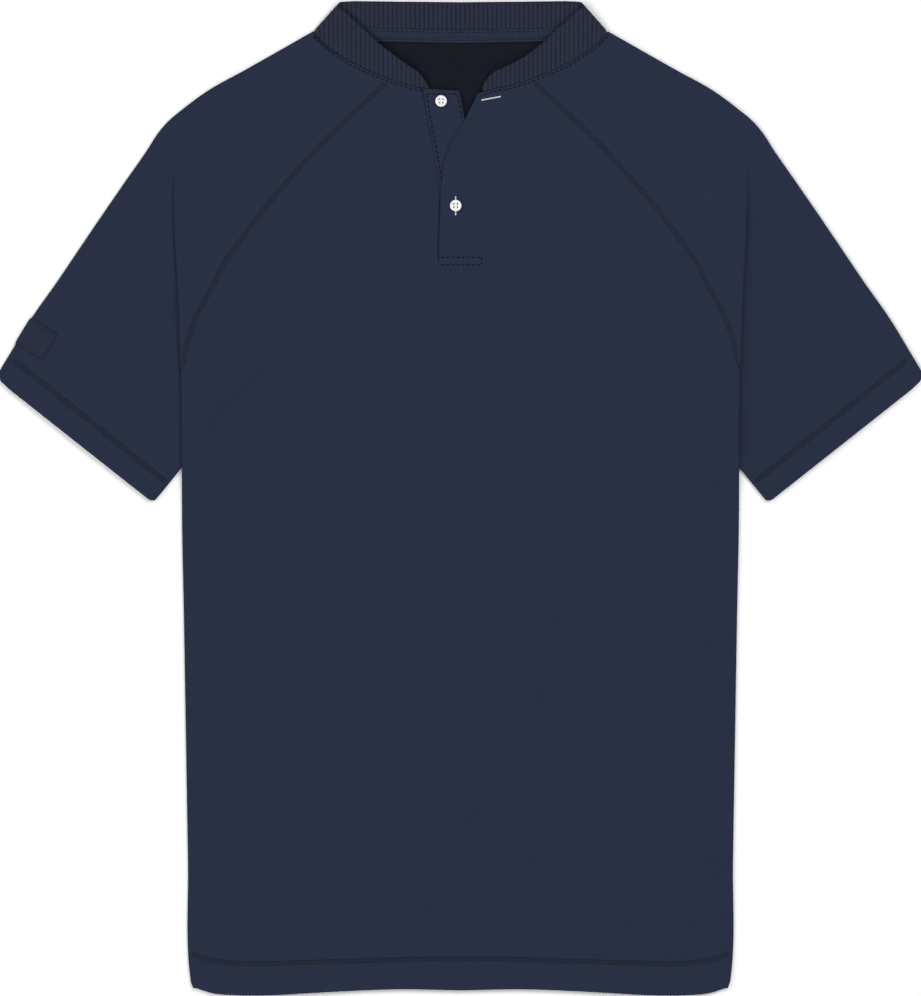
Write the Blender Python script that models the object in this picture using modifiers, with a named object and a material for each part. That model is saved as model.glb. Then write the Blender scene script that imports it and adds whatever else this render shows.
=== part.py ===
"""A navy raglan polo shirt with a ribbed band collar and a two-button placket, laid flat on its back.

The shirt lies with its neck towards +Y and its front face up, +Z; its underside is at z = 0.
Sizes are in millimetres, and MM turns them to metres where a mesh is made. Both sides of the shirt
are worked out in (out, y), where out is the distance from the centre line, and a side's sign gives x.
"""

import math

import bmesh
import bpy
import numpy as np

MM = 0.001
COLLECTION = "polo_shirt"
LEFT, RIGHT = -1, 1

# Thickness of each cloth, and how the cloths are stacked.
JERSEY = 1.0
RIB = 1.6
BAND = 1.4
TAPE = 0.8
LABEL = 0.6
SEAM_GAP = 0.3
FOLD_RADIUS = 1.0
LOWER_LEVEL = JERSEY / 2
UPPER_LEVEL = LOWER_LEVEL + 2 * FOLD_RADIUS
EDGE_INSET = FOLD_RADIUS + JERSEY / 2
SEAM_TURN = math.acos(SEAM_GAP / 2 / (FOLD_RADIUS - JERSEY / 2))
CROWN_HEIGHT = 1.4
CROWN_REACH = 45.0

# A wall's points gather where it bends: one radian counts as this much length.
BEND_WEIGHT = 3.0
FLAT_BEFORE_BEND = 4.0
# The least lengths over which a sleeve's fold, and its start past the armpit, are stepped.
LEAST_FOLD = 1.6
LEAST_TOP = 5.4


def columns(names, *rows):
    """A short table, as one array for each named column."""
    return dict(zip(names.split(), np.array(rows, float).T))


# Outer fold of a sleeve, from the neck over the shoulder to the cuff's corner.
SLEEVE_EDGE = columns(
    "out y",
    (125.4, 396.4),
    (133.0, 392.1),
    (150.9, 381.9),
    (184.0, 363.2),
    (214.6, 346.2),
    (237.6, 329.2),
    (247.8, 320.7),
    (255.4, 312.2),
    (266.5, 295.2),
    (284.3, 269.7),
    (319.2, 218.7),
    (342.1, 184.7),
    (365.9, 150.7),
    (383.8, 121.0),
    (395.3, 101.8),
)
ARMPIT_EDGE_OUT = 371.0
# Radii that round the cuff off at its outer corner and at its underarm corner.
OUTER_ROUNDING = 9.5
INNER_ROUNDING = 5.5

# Front raglan seam, from the neck down to where it meets the armhole fold.
FRONT_RAGLAN = columns(
    "out y",
    (59.1, 355.9),
    (89.2, 328.4),
    (115.2, 303.5),
    (140.7, 275.8),
    (163.0, 250.0),
    (181.5, 226.0),
    (199.8, 200.3),
    (210.9, 178.1),
    (223.8, 154.1),
    (231.1, 133.9),
    (235.6, 112.0),
)
BACK_RAGLAN = columns(
    "out y",
    (92.2, 393.5),
    (136.4, 329.2),
    (174.7, 252.7),
    (202.7, 176.2),
    (218.0, 108.0),
    (224.8, 65.7),
    (227.2, 37.7),
)

# The armhole fold hangs over the sleeve and becomes the body's side below the armpit.
BODY_EDGE = columns(
    "y out",
    (-416.2, 227.2),
    (-411.1, 229.1),
    (-405.0, 229.9),
    (-308.0, 231.6),
    (-206.0, 233.3),
    (-104.0, 235.0),
    (-10.0, 236.7),
    (26.0, 236.7),
    (84.0, 236.9),
    (150.0, 238.8),
    (224.0, 242.2),
    (282.0, 244.0),
    (300.0, 244.2),
)
# How far the cloth turns over at that fold, and how far it runs back under it.
ARMHOLE_TUCK = columns(
    "y turn run",
    (37.7, 180.0, 7.7),
    (113.0, 180.0, 5.0),
    (205.0, 180.0, 1.0),
    (240.0, 150.0, 0.3),
    (270.0, 70.0, 0.0),
    (295.0, 0.0, 0.0),
)
# Below the armpit the side seam comes out from under the fold to the body's edge.
SIDE_TUCK = columns(
    "y turn run lift",
    (-6.0, math.degrees(SEAM_TURN), 0.0, 0.0),
    (10.0, 120.0, 1.0, 1.2),
    (26.0, 165.0, 4.5, 3.0),
    (37.7, 180.0, 7.7, 4.0),
)
# Where the raglan seam lies on the tucked cloth, measured from the start of the fold.
HIDDEN_SEAM = columns("y along", (37.7, 12.4), (56.0, 9.0), (74.0, 6.0), (92.0, 3.0), (108.0, 0.6))
# The gap at that seam, wider round the fold so that the inner sides of the walls stay apart.
SEAM_GAPS = columns("y gap", (37.7, 1.2), (56.0, 0.8), (74.0, 0.65), (118.0, 0.65), (140.0, SEAM_GAP))
ARMPIT_Y = 37.7
LIFT_KEPT = 10.0
LIFT_FALL = 70.0

UNDERARM = columns("out y", (236.7, 25.8), (260.9, -4.4))
UNDERARM_SHARES = (0.1, 0.28, 0.5, 0.72, 1.0)

# Heights at which the front's rows and the sleeves' sections meet on the raglan seam.
SEAM_ROWS = (
    *(355.9, 338, 312, 285, 258, 232, 210, 197, 172, 148),
    *(127, 118, 112, 106, 99, 91, 74, 56, 48, 42.5, 37.7),
)
SIDE_ROWS = (28, 17, 6, -6, -60, -160, -260, -340, -375, -400, -416.2)

HEM = columns(
    "out y",
    (0.0, -418.0),
    (53.0, -417.1),
    (99.0, -418.8),
    (129.6, -420.5),
    (160.2, -422.2),
    (190.8, -422.2),
    (211.2, -420.5),
    (224.8, -416.2),
)
HEM_BLEND_Y = -340.0

# Neck seam and free edge of the collar's front, and the seam and top edge of its back.
NECK_SEAM = columns(
    "out y",
    (13.0, 342.7),
    (18.4, 344.6),
    (27.1, 347.6),
    (41.2, 350.3),
    (51.4, 353.2),
    (60.8, 356.4),
    (71.4, 360.7),
    (82.0, 365.2),
    (90.5, 369.3),
    (98.5, 373.9),
    (106.7, 379.4),
    (114.8, 385.6),
    (123.4, 394.2),
)
COLLAR_FREE_EDGE = columns(
    "out y",
    (26.8, 348.4),
    (28.5, 352.2),
    (31.5, 357.0),
    (35.8, 361.8),
    (42.9, 366.5),
    (51.4, 372.4),
    (60.8, 379.4),
    (71.4, 388.0),
    (82.0, 398.3),
    (90.5, 405.9),
    (98.5, 413.0),
    (103.0, 416.0),
)
BACK_SEAM = columns("out y", (0.0, 393.5), (92.2, 393.5), (120.8, 397.0))
BACK_TOP_EDGE = columns("out y", (0.0, 420.3), (50.0, 421.0), (88.8, 421.9), (98.0, 421.6), (102.0, 420.0))
COLLAR_LINE_FOLD = 120.8
COLLAR_ENDS = {LEFT: 27.1, RIGHT: 18.6}
RIB_PITCH = 3.85
RIB_HEIGHT = 0.35
# How far the ribs lean in beside the side folds, on the collar's front and on its back.
FRONT_LEAN = 20.4
BACK_LEAN = 22.8
COLLAR_LEAN_REACH = 62.0
COLLAR_FOLD_RADIUS = 1.7
COLLAR_TOP_RADIUS = 2.2
COLLAR_SIDE_LIFT = 1.4
COLLAR_SIDE_REACH = 40.0
COLLAR_FRONT_RISE = 2.6
COLLAR_WIDTH = 29.0
COLLAR_BACK_LEVEL = RIB / 2 + 0.1
COLLAR_BACK_RISE = columns("out rise", (0.0, 8.0), (40.0, 7.0), (80.0, 3.8), (102.0, 1.6))
COLLAR_ARCH = 0.5

# The placket: x of its left seam line, of the free edge of the flap over it, and of the band below.
PLACKET_SEAM = columns(
    "y x",
    (197.0, -19.0),
    (222.1, -18.4),
    (246.8, -17.5),
    (259.5, -17.8),
    (269.4, -18.7),
    (286.7, -21.5),
    (311.8, -26.4),
    (348.2, -33.0),
)
FLAP_EDGE = columns(
    "y x",
    (197.0, -19.0),
    (205.0, -18.2),
    (222.1, -18.0),
    (246.8, -17.1),
    (259.5, -16.8),
    (265.6, -16.3),
    (275.7, -15.2),
    (285.6, -14.0),
    (293.7, -11.5),
    (303.7, -6.5),
    (312.4, -1.5),
    (321.8, 4.1),
    (343.7, 14.7),
)
PLACKET_FOOT_Y = 197.0
PLACKET_EASE = 12.0
SEAM_SINK = 1.2
SEAM_SINK_REACH = 14.0
FLAP_LIFT = 0.45
FLAP_LIFT_REACH = 45.0
NECK_DROP = {LEFT: 7.9, RIGHT: 12.6}
NECK_DROP_END = 300.0
BAND_LEVEL = 2.55
BAND_TOP_Y = 345.6
BAND_FOOT_Y = 199.5
BAND_WIDTHS = columns("y width", (199.5, 33.0), (345.6, 31.6))

TAPE_ENDS = 90.0
TAPE_TOP = columns("out y", (0.0, 397.3), (60.0, 398.2), (90.0, 399.2))
TAPE_FOOT = columns("out y", (0.0, 386.6), (60.0, 387.6), (90.0, 388.6))

BUTTON_RADIUS = 4.9
BUTTON_THICKNESS = 2.2
BUTTON_RIM = 0.9
BUTTON_DISH = 0.5
BUTTON_HOLE_RADIUS = 0.75
BUTTON_HOLE_OFFSET = 1.45
TOP_BUTTON = (-16.5, 337.0)
LOWER_BUTTON = (-4.1, 248.1)

# Where the label starts and ends on the sleeve's outer edge, and how far it reaches over the front.
LABEL_ON_EDGE = (364.6, 377.6)
LABEL_REACH = 26.7
LABEL_WRAP = math.radians(118)

NAVY = (0.0242, 0.0319, 0.0578)
RIB_NAVY = (0.0262, 0.0307, 0.0482)
DARK_NAVY = (0.0160, 0.0210, 0.0380)
BUTTON_WHITE = (0.86, 0.86, 0.84)


def ease(t):
    """0 to 1 with level ends."""
    t = np.clip(t, 0.0, 1.0)
    return t * t * (3 - 2 * t)


def lookup(table, key, value, at):
    """The table's value at a place between its rows; key rises down the table."""
    return np.interp(at, table[key], table[value])


def smooth_line(table, first="out", second="y", step=1.5):
    """Points about `step` apart on a smooth curve through a table's rows."""
    points = np.stack([table[first], table[second]], -1)
    at = np.r_[0.0, np.cumsum(np.linalg.norm(np.diff(points, axis=0), axis=1))]
    slope = np.gradient(points, at, axis=0)
    fine = np.linspace(0.0, at[-1], int(at[-1] / step) + 2)
    i = np.clip(np.searchsorted(at, fine, "right") - 1, 0, len(at) - 2)
    span = (at[i + 1] - at[i])[:, None]
    t = (fine - at[i])[:, None] / span
    start = (1 + 2 * t) * (1 - t) ** 2 * points[i] + t * (1 - t) ** 2 * span * slope[i]
    return start + t * t * (3 - 2 * t) * points[i + 1] + t * t * (t - 1) * span * slope[i + 1]


def run_of(line):
    """Distance along a polyline to each of its points."""
    return np.r_[0.0, np.cumsum(np.linalg.norm(np.diff(line, axis=0), axis=1))]


def point_at(line, distance):
    run = run_of(line)
    return np.stack([np.interp(distance, run, line[:, k]) for k in range(line.shape[1])], -1)


def steps_along(line, count):
    """Distances to count + 1 points along a path, closer together where it bends."""
    lengths = np.linalg.norm(np.diff(line, axis=0), axis=1)
    line = line[np.r_[True, lengths > 1e-6]]
    steps = np.diff(line, axis=0)
    lengths = np.linalg.norm(steps, axis=1)
    heading = steps / lengths[:, None]
    turns = np.arccos(np.clip((heading[1:] * heading[:-1]).sum(1), -1.0, 1.0))
    weight = np.r_[0.0, np.cumsum(lengths + BEND_WEIGHT * np.r_[0.0, turns])]
    return np.interp(np.linspace(0.0, weight[-1], count + 1), weight, run_of(line))


def stretch_of(line, start, end):
    """The part of a path between two distances along it."""
    run = run_of(line)
    inside = line[(run > start + 1e-6) & (run < end - 1e-6)]
    return np.concatenate([[point_at(line, start)], inside, [point_at(line, end)]])


SLEEVE_LINE = smooth_line(SLEEVE_EDGE)
RAGLAN_LINE = smooth_line(FRONT_RAGLAN)
BACK_RAGLAN_LINE = smooth_line(BACK_RAGLAN)
NECK_LINE = smooth_line(NECK_SEAM)
FREE_EDGE_LINE = smooth_line(COLLAR_FREE_EDGE)
HEM_LINE = smooth_line(HEM)
BODY_LINE = smooth_line(BODY_EDGE, "y", "out")
EDGE_POINTS = np.concatenate(
    [SLEEVE_LINE, smooth_line(UNDERARM), BODY_LINE[BODY_LINE[:, 0] < UNDERARM["y"][0]][:, ::-1]]
)


def body_edge(y):
    return np.interp(y, BODY_LINE[:, 0], BODY_LINE[:, 1])


def fold_start(y):
    """Where the upper cloth starts to turn over at the armhole fold or the side."""
    return body_edge(y) - EDGE_INSET


def crown(out, y):
    """The upper layer stands a little higher away from the folded edges."""
    here = np.stack(np.broadcast_arrays(out, y), -1).reshape(-1, 1, 2)
    near = np.sqrt(((here - EDGE_POINTS[None]) ** 2).sum(-1)).min(1)
    return CROWN_HEIGHT * (1 - np.exp(-near.reshape(np.shape(out)) / CROWN_REACH))


def tuck(y):
    """Turn in radians, run and drop of the cloth that is folded under at height y."""
    above = np.asarray(y) >= ARMPIT_Y
    turn, run = (
        np.where(above, lookup(ARMHOLE_TUCK, "y", value, y), lookup(SIDE_TUCK, "y", value, y))
        for value in ("turn", "run")
    )
    turn = np.radians(turn)
    drop = 2 * FOLD_RADIUS * (1 - np.cos(turn)) + run * np.sin(turn)
    return turn, run, np.where(above, drop, lookup(SIDE_TUCK, "y", "lift", y))


def upper_height(out, y):
    return UPPER_LEVEL + crown(out, y)


def body_height(out, y):
    """Height of the upper layer inside the armhole fold, lifted by the cloth tucked under it."""
    inside = fold_start(y) - out - LIFT_KEPT
    return upper_height(out, y) + tuck(y)[2] * (1 - ease(inside / LIFT_FALL))


def folded(along, turn, run):
    """Outward and downward travel of cloth that turns over, runs back and turns out again."""
    first = FOLD_RADIUS * turn
    angle = np.clip(along, 0, first) / FOLD_RADIUS
    straight = np.clip(along - first, 0, run)
    back = turn - np.clip(along - first - run, 0, first) / FOLD_RADIUS
    outward = FOLD_RADIUS * (np.sin(angle) + np.sin(turn) - np.sin(back)) + straight * np.cos(turn)
    down = FOLD_RADIUS * (1 - np.cos(angle) + np.cos(back) - np.cos(turn)) + straight * np.sin(turn)
    return outward, down


def fold_path(y, start, end, points=40):
    """The folded cloth at height y, from one distance along it to another."""
    turn, run, _ = tuck(y)
    along = np.linspace(start, end, points)
    outward, down = folded(along, turn, run)
    top = body_height(fold_start(y), y)
    return np.stack([fold_start(y) + outward, np.full(points, y), top - down], -1)


def seam_along(y):
    """Distance of the raglan or side seam past the start of the fold at height y."""
    turn, run, _ = tuck(y)
    if y < ARMPIT_Y:
        return FOLD_RADIUS * turn + run
    if y <= HIDDEN_SEAM["y"][-1]:
        return lookup(HIDDEN_SEAM, "y", "along", y)
    return raglan_out(y) - fold_start(y)


def raglan_out(y):
    return np.interp(-y, -RAGLAN_LINE[:, 1], RAGLAN_LINE[:, 0])


def neck_shift(y):
    """1 at the neck, falling to 0 a little way down the front."""
    return ease((y - NECK_DROP_END) / (SEAM_ROWS[0] - NECK_DROP_END))


def sag_from_chord(share, start, end):
    """How far the neck seam lies above the straight line between two of its places."""
    out = start[0] + share * (end[0] - start[0])
    line = np.concatenate([NECK_LINE, SLEEVE_LINE[:1]])
    return np.interp(out, line[:, 0], line[:, 1]) - start[1] - share * (end[1] - start[1])


def neck_sag(share, side):
    """The neck seam's own curve along the front's first row."""
    y = SEAM_ROWS[0] - NECK_DROP[side]
    return sag_from_chord(share, (side * placket_x(side, y), y), RAGLAN_LINE[0])


def placket_x(side, y):
    table = PLACKET_SEAM if side == LEFT else FLAP_EDGE
    return lookup(table, "y", "x", np.maximum(y, PLACKET_FOOT_Y))


def front_height(side, out, y):
    """Height of the front: it sinks to the placket's seam and the flap lies over the band."""
    height = body_height(out, y)
    past = np.abs(out - side * placket_x(side, y))
    opened = ease((y - PLACKET_FOOT_Y) / PLACKET_EASE)
    if side == LEFT:
        return height - SEAM_SINK * opened * np.exp(-((past / SEAM_SINK_REACH) ** 2))
    return height + FLAP_LIFT * opened * (1 - ease(past / FLAP_LIFT_REACH))


def hem_y(out, y):
    """Rows near the hem take on its shape."""
    share = ease((HEM_BLEND_Y - y) / (HEM_BLEND_Y - HEM["y"][-1]))
    hem = np.interp(np.abs(out), HEM_LINE[:, 0], HEM_LINE[:, 1])
    return y + share * (hem - HEM["y"][-1])


def stepped(path, ends, counts):
    """Points along a path, a count for each stretch up to a distance in ends."""
    points = [path[:1]]
    for start, end, count in zip((0, *ends[:-1]), ends, counts):
        stretch = stretch_of(path, start, end)
        points.append(point_at(stretch, steps_along(stretch, count)[1:]))
    return np.concatenate(points)


def front_row(side, y, counts=(5, 7)):
    """One row of the front, from the placket or its foot's line out to the seam."""
    along = seam_along(y)
    inner_y = y - NECK_DROP[side] * neck_shift(y)
    inner_out = side * placket_x(side, inner_y)
    flat_end = fold_start(y) + min(along, 0)
    out = np.linspace(inner_out, flat_end, 80)
    height_y = inner_y + (y - inner_y) * (out - inner_out) / (flat_end - inner_out)
    height_y += neck_shift(y) * neck_sag((out - inner_out) / (flat_end - inner_out), side)
    row_y = hem_y(out, height_y)
    path = np.stack([out, row_y, front_height(side, out, height_y)], -1)
    if along > 0:
        path = np.concatenate([path, fold_path(y, 0.0, along)[1:]])
    total = run_of(path)[-1]
    return stepped(path, (total - max(along, 0) - FLAT_BEFORE_BEND, total), counts)


def fold_crossing(seam, edge):
    """How far along a sleeve section the armhole fold is crossed, and whether it is."""
    share = np.linspace(0, 0.85, 200)
    line = seam + share[:, None] * (edge - seam)
    past = line[:, 0] >= fold_start(line[:, 1])
    return share[np.argmax(past)] if past.any() else share[-1]


def cuff_pull(points, corner, rounding):
    """How far the cuff's edge is drawn back near a corner, to round it."""
    short = np.clip(rounding - np.linalg.norm(points - corner, axis=1), 0, rounding)
    return rounding - np.sqrt(rounding**2 - short**2)


def sleeve_top_part(y, edge):
    """The sleeve's section from the raglan seam to its lower cloth, and the length before the fold."""
    gap = lookup(SEAM_GAPS, "y", "gap", y)
    first = seam_along(y) + gap
    if first > 0:
        turn, run, _ = tuck(y)
        return fold_path(y, first, 2 * FOLD_RADIUS * turn + run), 0
    seam = np.array([raglan_out(y), y])
    share = fold_crossing(seam, edge)
    corner = seam + share * (edge - seam)
    start = gap / np.linalg.norm(corner - seam)
    plan = seam + np.linspace(start, 1, 40)[:, None] * (corner - seam)
    path = np.concatenate([plan, body_height(plan[:, 0], plan[:, 1])[:, None]], 1)
    turn, run, _ = tuck(corner[1])
    flat = run_of(path)[-1]
    if turn > 0:
        tail = fold_path(corner[1], 0, 2 * FOLD_RADIUS * turn + run)
        tail += path[-1] - tail[0]
        path = np.concatenate([path, tail[1:]])
    return path, flat


def underarm_start(share):
    """The sleeve's section just past its underarm edge, turned down to the back's."""
    corner = np.stack([UNDERARM["out"], UNDERARM["y"]], -1)
    armpit = np.array([BACK_RAGLAN["out"][-1], ARMPIT_Y])
    line = np.concatenate([armpit[None], corner])
    return point_at(line, share * run_of(line)[-1])


def sleeve_lower_part(start, edge, height):
    """From the start of the lower cloth out to the sleeve's folded edge and round it."""
    heading = (edge - start) / np.linalg.norm(edge - start)
    stop = edge - heading * EDGE_INSET
    plan = start + np.linspace(0, 1, 60)[:, None] * (stop - start)
    level = upper_height(plan[:, 0], plan[:, 1])
    gone = np.linalg.norm(plan - start, axis=1)
    level += (height - level[0]) * np.exp(-gone / 12.0)
    level += (UPPER_LEVEL - level[-1]) * np.exp(-(gone[-1] - gone) / 6.0)
    path = np.concatenate([plan, level[:, None]], 1)
    angle = np.linspace(0, math.pi, 33)[1:]
    turn = stop + np.sin(angle)[:, None] * heading * FOLD_RADIUS
    height = (LOWER_LEVEL + UPPER_LEVEL) / 2 + FOLD_RADIUS * np.cos(angle)
    return np.concatenate([path, np.concatenate([turn, height[:, None]], 1)]), stop


def sleeve_bottom_part(stop, end, turn):
    """From the folded edge back under the sleeve to the back seam, turned up by `turn` there."""
    heading = (end - stop) / np.linalg.norm(end - stop)
    end = end - heading * (SEAM_GAP if turn == 0 else JERSEY / 2 + FOLD_RADIUS)
    plan = stop + np.linspace(0, 1, 40)[:, None] * (end - stop)
    path = np.concatenate([plan, np.full((40, 1), LOWER_LEVEL)], 1)
    if turn == 0:
        return path
    angle = np.linspace(0, turn, 12)[1:]
    curl = end + np.sin(angle)[:, None] * heading * FOLD_RADIUS
    height = LOWER_LEVEL + FOLD_RADIUS * (1 - np.cos(angle))
    return np.concatenate([path, np.concatenate([curl, height[:, None]], 1)])


def back_raglan_point(y):
    """The place on the back raglan seam that faces height y on the front's."""
    return point_at(BACK_RAGLAN_LINE, along_seam_share(y) * run_of(BACK_RAGLAN_LINE)[-1])


def fold_stops(path, flat, top_end, counts):
    """Where a section's steps change: near the fold, or evenly shared where its flat is short."""
    even = steps_along(stretch_of(path, 0, top_end), sum(counts))
    return (
        max(flat - FLAT_BEFORE_BEND, even[counts[0]]),
        max(flat, even[counts[0] + counts[1]]),
    )


def sleeve_section(seam_y, share, under, counts=(3, 2, 6, 3, 6, 2, 3)):
    """One ring of a sleeve: seam, armhole fold, outer fold and back to the back seam.

    seam_y is the height on the raglan seam, or None past the armpit, where under is the share of
    the underarm edge; share is the place on the outer edge.
    """
    edge = point_at(SLEEVE_LINE, share * run_of(SLEEVE_LINE)[-1])
    if under is None:
        top, flat = sleeve_top_part(seam_y, edge)
        back = back_raglan_point(seam_y)
    else:
        corner = underarm_start(under)
        heading = (edge - corner) / np.linalg.norm(edge - corner)
        turn = SEAM_TURN * ease(under / UNDERARM_SHARES[1])
        start = corner + heading * EDGE_INSET
        angle = np.linspace(turn, 0, 14)
        curl = start - np.sin(angle)[:, None] * heading * FOLD_RADIUS
        height = UPPER_LEVEL - FOLD_RADIUS * (1 - np.cos(angle))
        if turn == 0:
            curl = corner + np.linspace(0.3, 1, 14)[:, None] * (start - corner)
        curl = np.concatenate([curl, height[:, None]], 1)
        ahead = start + heading * 4.0
        top = np.concatenate([curl, [[*ahead, UPPER_LEVEL + 0.05]]])
        back, flat = corner, 0
    lower, stop = sleeve_lower_part(top[-1, :2], edge, top[-1, 2])
    bottom = sleeve_bottom_part(stop, back, turn if under is not None else 0)
    path = np.concatenate([top, lower[1:], bottom[1:]])
    top_end = max(run_of(top)[-1], flat + LEAST_FOLD if flat else LEAST_TOP)
    fold_end = run_of(top)[-1] + run_of(lower)[-1]
    total = run_of(path)[-1]
    around_fold = math.pi * FOLD_RADIUS + 2 * FLAT_BEFORE_BEND
    ends = (
        *fold_stops(path, flat, top_end, counts[:3]),
        top_end,
        fold_end + FLAT_BEFORE_BEND - around_fold,
        fold_end + FLAT_BEFORE_BEND,
        total - FLAT_BEFORE_BEND - FOLD_RADIUS,
        total,
    )
    return stepped(path, ends, counts)


def along_seam_share(y):
    """Share of the front seam's length, neck to armpit, above height y."""
    hidden = HIDDEN_SEAM["y"][-1] - ARMPIT_Y
    total = run_of(RAGLAN_LINE)[-1] + hidden
    if y < RAGLAN_LINE[-1, 1]:
        return 1 - (y - ARMPIT_Y) / total
    return np.interp(-y, -RAGLAN_LINE[:, 1], run_of(RAGLAN_LINE)) / total


def bend_to_neck(ring, strength):
    """The first sections follow the curved neck seam."""
    share = np.clip((ring[:, 0] - ring[0, 0]) / (ring[:, 0].max() - ring[0, 0]), 0, 1)
    upper = ring[:, 2] > (LOWER_LEVEL + UPPER_LEVEL) / 2
    sag = sag_from_chord(share, RAGLAN_LINE[0], SLEEVE_LINE[0])
    ring[:, 1] += np.where(upper, strength * sag, 0)
    return ring


def sleeve_grid():
    """All of a sleeve's rings, from the neck to the cuff."""
    total = run_of(SLEEVE_LINE)[-1]
    armpit_run = np.interp(ARMPIT_EDGE_OUT, SLEEVE_LINE[:, 0], run_of(SLEEVE_LINE)) / total
    rings = []
    for y in SEAM_ROWS:
        share = along_seam_share(y)
        ring = sleeve_section(y, share * armpit_run, None)
        rings.append(bend_to_neck(ring, max(0.0, 1 - share / 0.12) ** 2))
    for under in UNDERARM_SHARES:
        rings.append(sleeve_section(None, armpit_run + (1 - armpit_run) * under, under))
    rings = np.array(rings)
    edge = SLEEVE_LINE[-1]
    corner = np.array([UNDERARM["out"][-1], UNDERARM["y"][-1]])
    back = (SLEEVE_LINE[-12] - edge) / np.linalg.norm(SLEEVE_LINE[-12] - edge)
    last = rings[-1, :, :2]
    pull = cuff_pull(last, edge, OUTER_ROUNDING) + cuff_pull(last, corner, INNER_ROUNDING)
    rings[-1, :, :2] += pull[:, None] * back
    return rings


def signed(grid, side):
    return grid * [side, 1, 1]


def material(name, colour, roughness):
    found = bpy.data.materials.new(name)
    found.use_nodes = True
    shader = found.node_tree.nodes["Principled BSDF"]
    shader.inputs["Base Color"].default_value = (*colour, 1)
    shader.inputs["Roughness"].default_value = roughness
    return found


def add_object(name, points, faces, finish):
    mesh = bpy.data.meshes.new(name)
    mesh.from_pydata([tuple(point * MM) for point in np.asarray(points)], [], faces)
    built = bpy.data.objects.new(name, mesh)
    bpy.data.collections[COLLECTION].objects.link(built)
    mesh.materials.append(finish)
    mesh.shade_smooth()
    return built


def grid_faces(numbers):
    """Triangles over a grid of point numbers."""
    a, b = numbers[:-1, :-1].ravel(), numbers[:-1, 1:].ravel()
    c, d = numbers[1:, 1:].ravel(), numbers[1:, :-1].ravel()
    return [tuple(map(int, t)) for t in np.concatenate([np.stack([a, b, c], 1), np.stack([a, c, d], 1)])]


def add_wall(name, points, faces, thickness, finish):
    """A cloth wall: its middle surface with an even thickness on both sides."""
    built = add_object(name, points, faces, finish)
    solid = built.modifiers.new("wall", "SOLIDIFY")
    solid.thickness = thickness * MM
    solid.offset = 0
    return built


def add_grid_wall(name, grid, thickness, finish):
    numbers = np.arange(grid.shape[0] * grid.shape[1]).reshape(grid.shape[:2])
    return add_wall(name, grid.reshape(-1, 3), grid_faces(numbers), thickness, finish)


def make_front(finish):
    """The front is one piece, slit from the neck down to the placket's foot."""
    points, left, right = [], [], []
    for y in (*SEAM_ROWS, *SIDE_ROWS):
        rows = {side: signed(front_row(side, y), side) for side in (LEFT, RIGHT)}
        first = len(points)
        points.extend(rows[LEFT])
        left.append(np.arange(first, len(points)))
        first = len(points)
        if y > PLACKET_FOOT_Y:
            points.extend(rows[RIGHT])
            right.append(np.arange(first, len(points)))
        else:
            points.extend(rows[RIGHT][1:])
            right.append(np.r_[left[-1][0], np.arange(first, len(points))])
    faces = grid_faces(np.array(left)) + grid_faces(np.array(right)[:, ::-1])
    return add_wall("front_panel", points, faces, JERSEY, finish)


def back_row(y, counts=(4, 4)):
    """Half a row of the back, from the centre out to its seam."""
    if y >= ARMPIT_Y:
        end, end_y = back_raglan_point(y)
        turn = 0.0
    else:
        fold_turn, fold_run, _ = tuck(y)
        outward, _ = folded(FOLD_RADIUS * fold_turn + fold_run, fold_turn, fold_run)
        end, end_y = fold_start(y) + outward, y
        turn = SEAM_TURN * ease((ARMPIT_Y - y) / (ARMPIT_Y - SIDE_TUCK["y"][0]))
    flat = end - FOLD_RADIUS * math.sin(turn)
    angle = np.linspace(0, turn, 12)[1:]
    out = np.linspace(0, flat, 60)
    path = np.stack([out, hem_y(out, end_y), np.full(60, LOWER_LEVEL)], -1)
    if turn:
        height = LOWER_LEVEL + FOLD_RADIUS * (1 - np.cos(angle))
        curl = np.stack([flat + FOLD_RADIUS * np.sin(angle), np.full(11, end_y), height], -1)
        path = np.concatenate([path, curl])
    total = run_of(path)[-1]
    return stepped(path, (total - FLAT_BEFORE_BEND - FOLD_RADIUS, total), counts)


def make_back(finish):
    rows = []
    for y in (*SEAM_ROWS, *SIDE_ROWS):
        half = back_row(y)
        rows.append(np.concatenate([signed(half, LEFT)[::-1], signed(half, RIGHT)[1:]]))
    return add_grid_wall("back_panel", np.array(rows), JERSEY, finish)


def make_sleeve(name, side, finish):
    grid = signed(sleeve_grid(), side)
    return add_grid_wall(name, grid[:, ::side], JERSEY, finish)


def leaning(out, fold, lean):
    """How far a rib's free end leans in towards the centre."""
    return lean * np.clip(1 - (fold - out) / COLLAR_LEAN_REACH, 0, 1)


def collar_front(side):
    """Seam and free-edge points of one front of the collar, from its end to the side fold."""
    end = COLLAR_ENDS[side]
    shift = end - COLLAR_ENDS[LEFT]
    fold = NECK_SEAM["out"][-1]
    out = np.linspace(end, fold, round((fold - end) / (RIB_PITCH / 2)) + 1)
    seam_y = np.interp(out, NECK_LINE[:, 0], NECK_LINE[:, 1])
    seam_z = front_height(side, out, seam_y) + (RIB - JERSEY) / 2
    seam_z += COLLAR_SIDE_LIFT * ease((out - fold + COLLAR_SIDE_REACH) / COLLAR_SIDE_REACH)
    top_out = out - leaning(out, fold, FRONT_LEAN)
    top_at = top_out - shift * (1 - ease((top_out - end) / 40.0))
    free_y = np.interp(top_at, FREE_EDGE_LINE[:, 0], FREE_EDGE_LINE[:, 1])
    free_y = np.maximum(free_y, seam_y + 1.5)
    width = np.hypot(free_y - seam_y, top_out - out)
    seam = np.stack([out, seam_y, seam_z], -1)
    free = np.stack([top_out, free_y, seam_z + COLLAR_FRONT_RISE * width / COLLAR_WIDTH], -1)
    return seam, free


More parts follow.
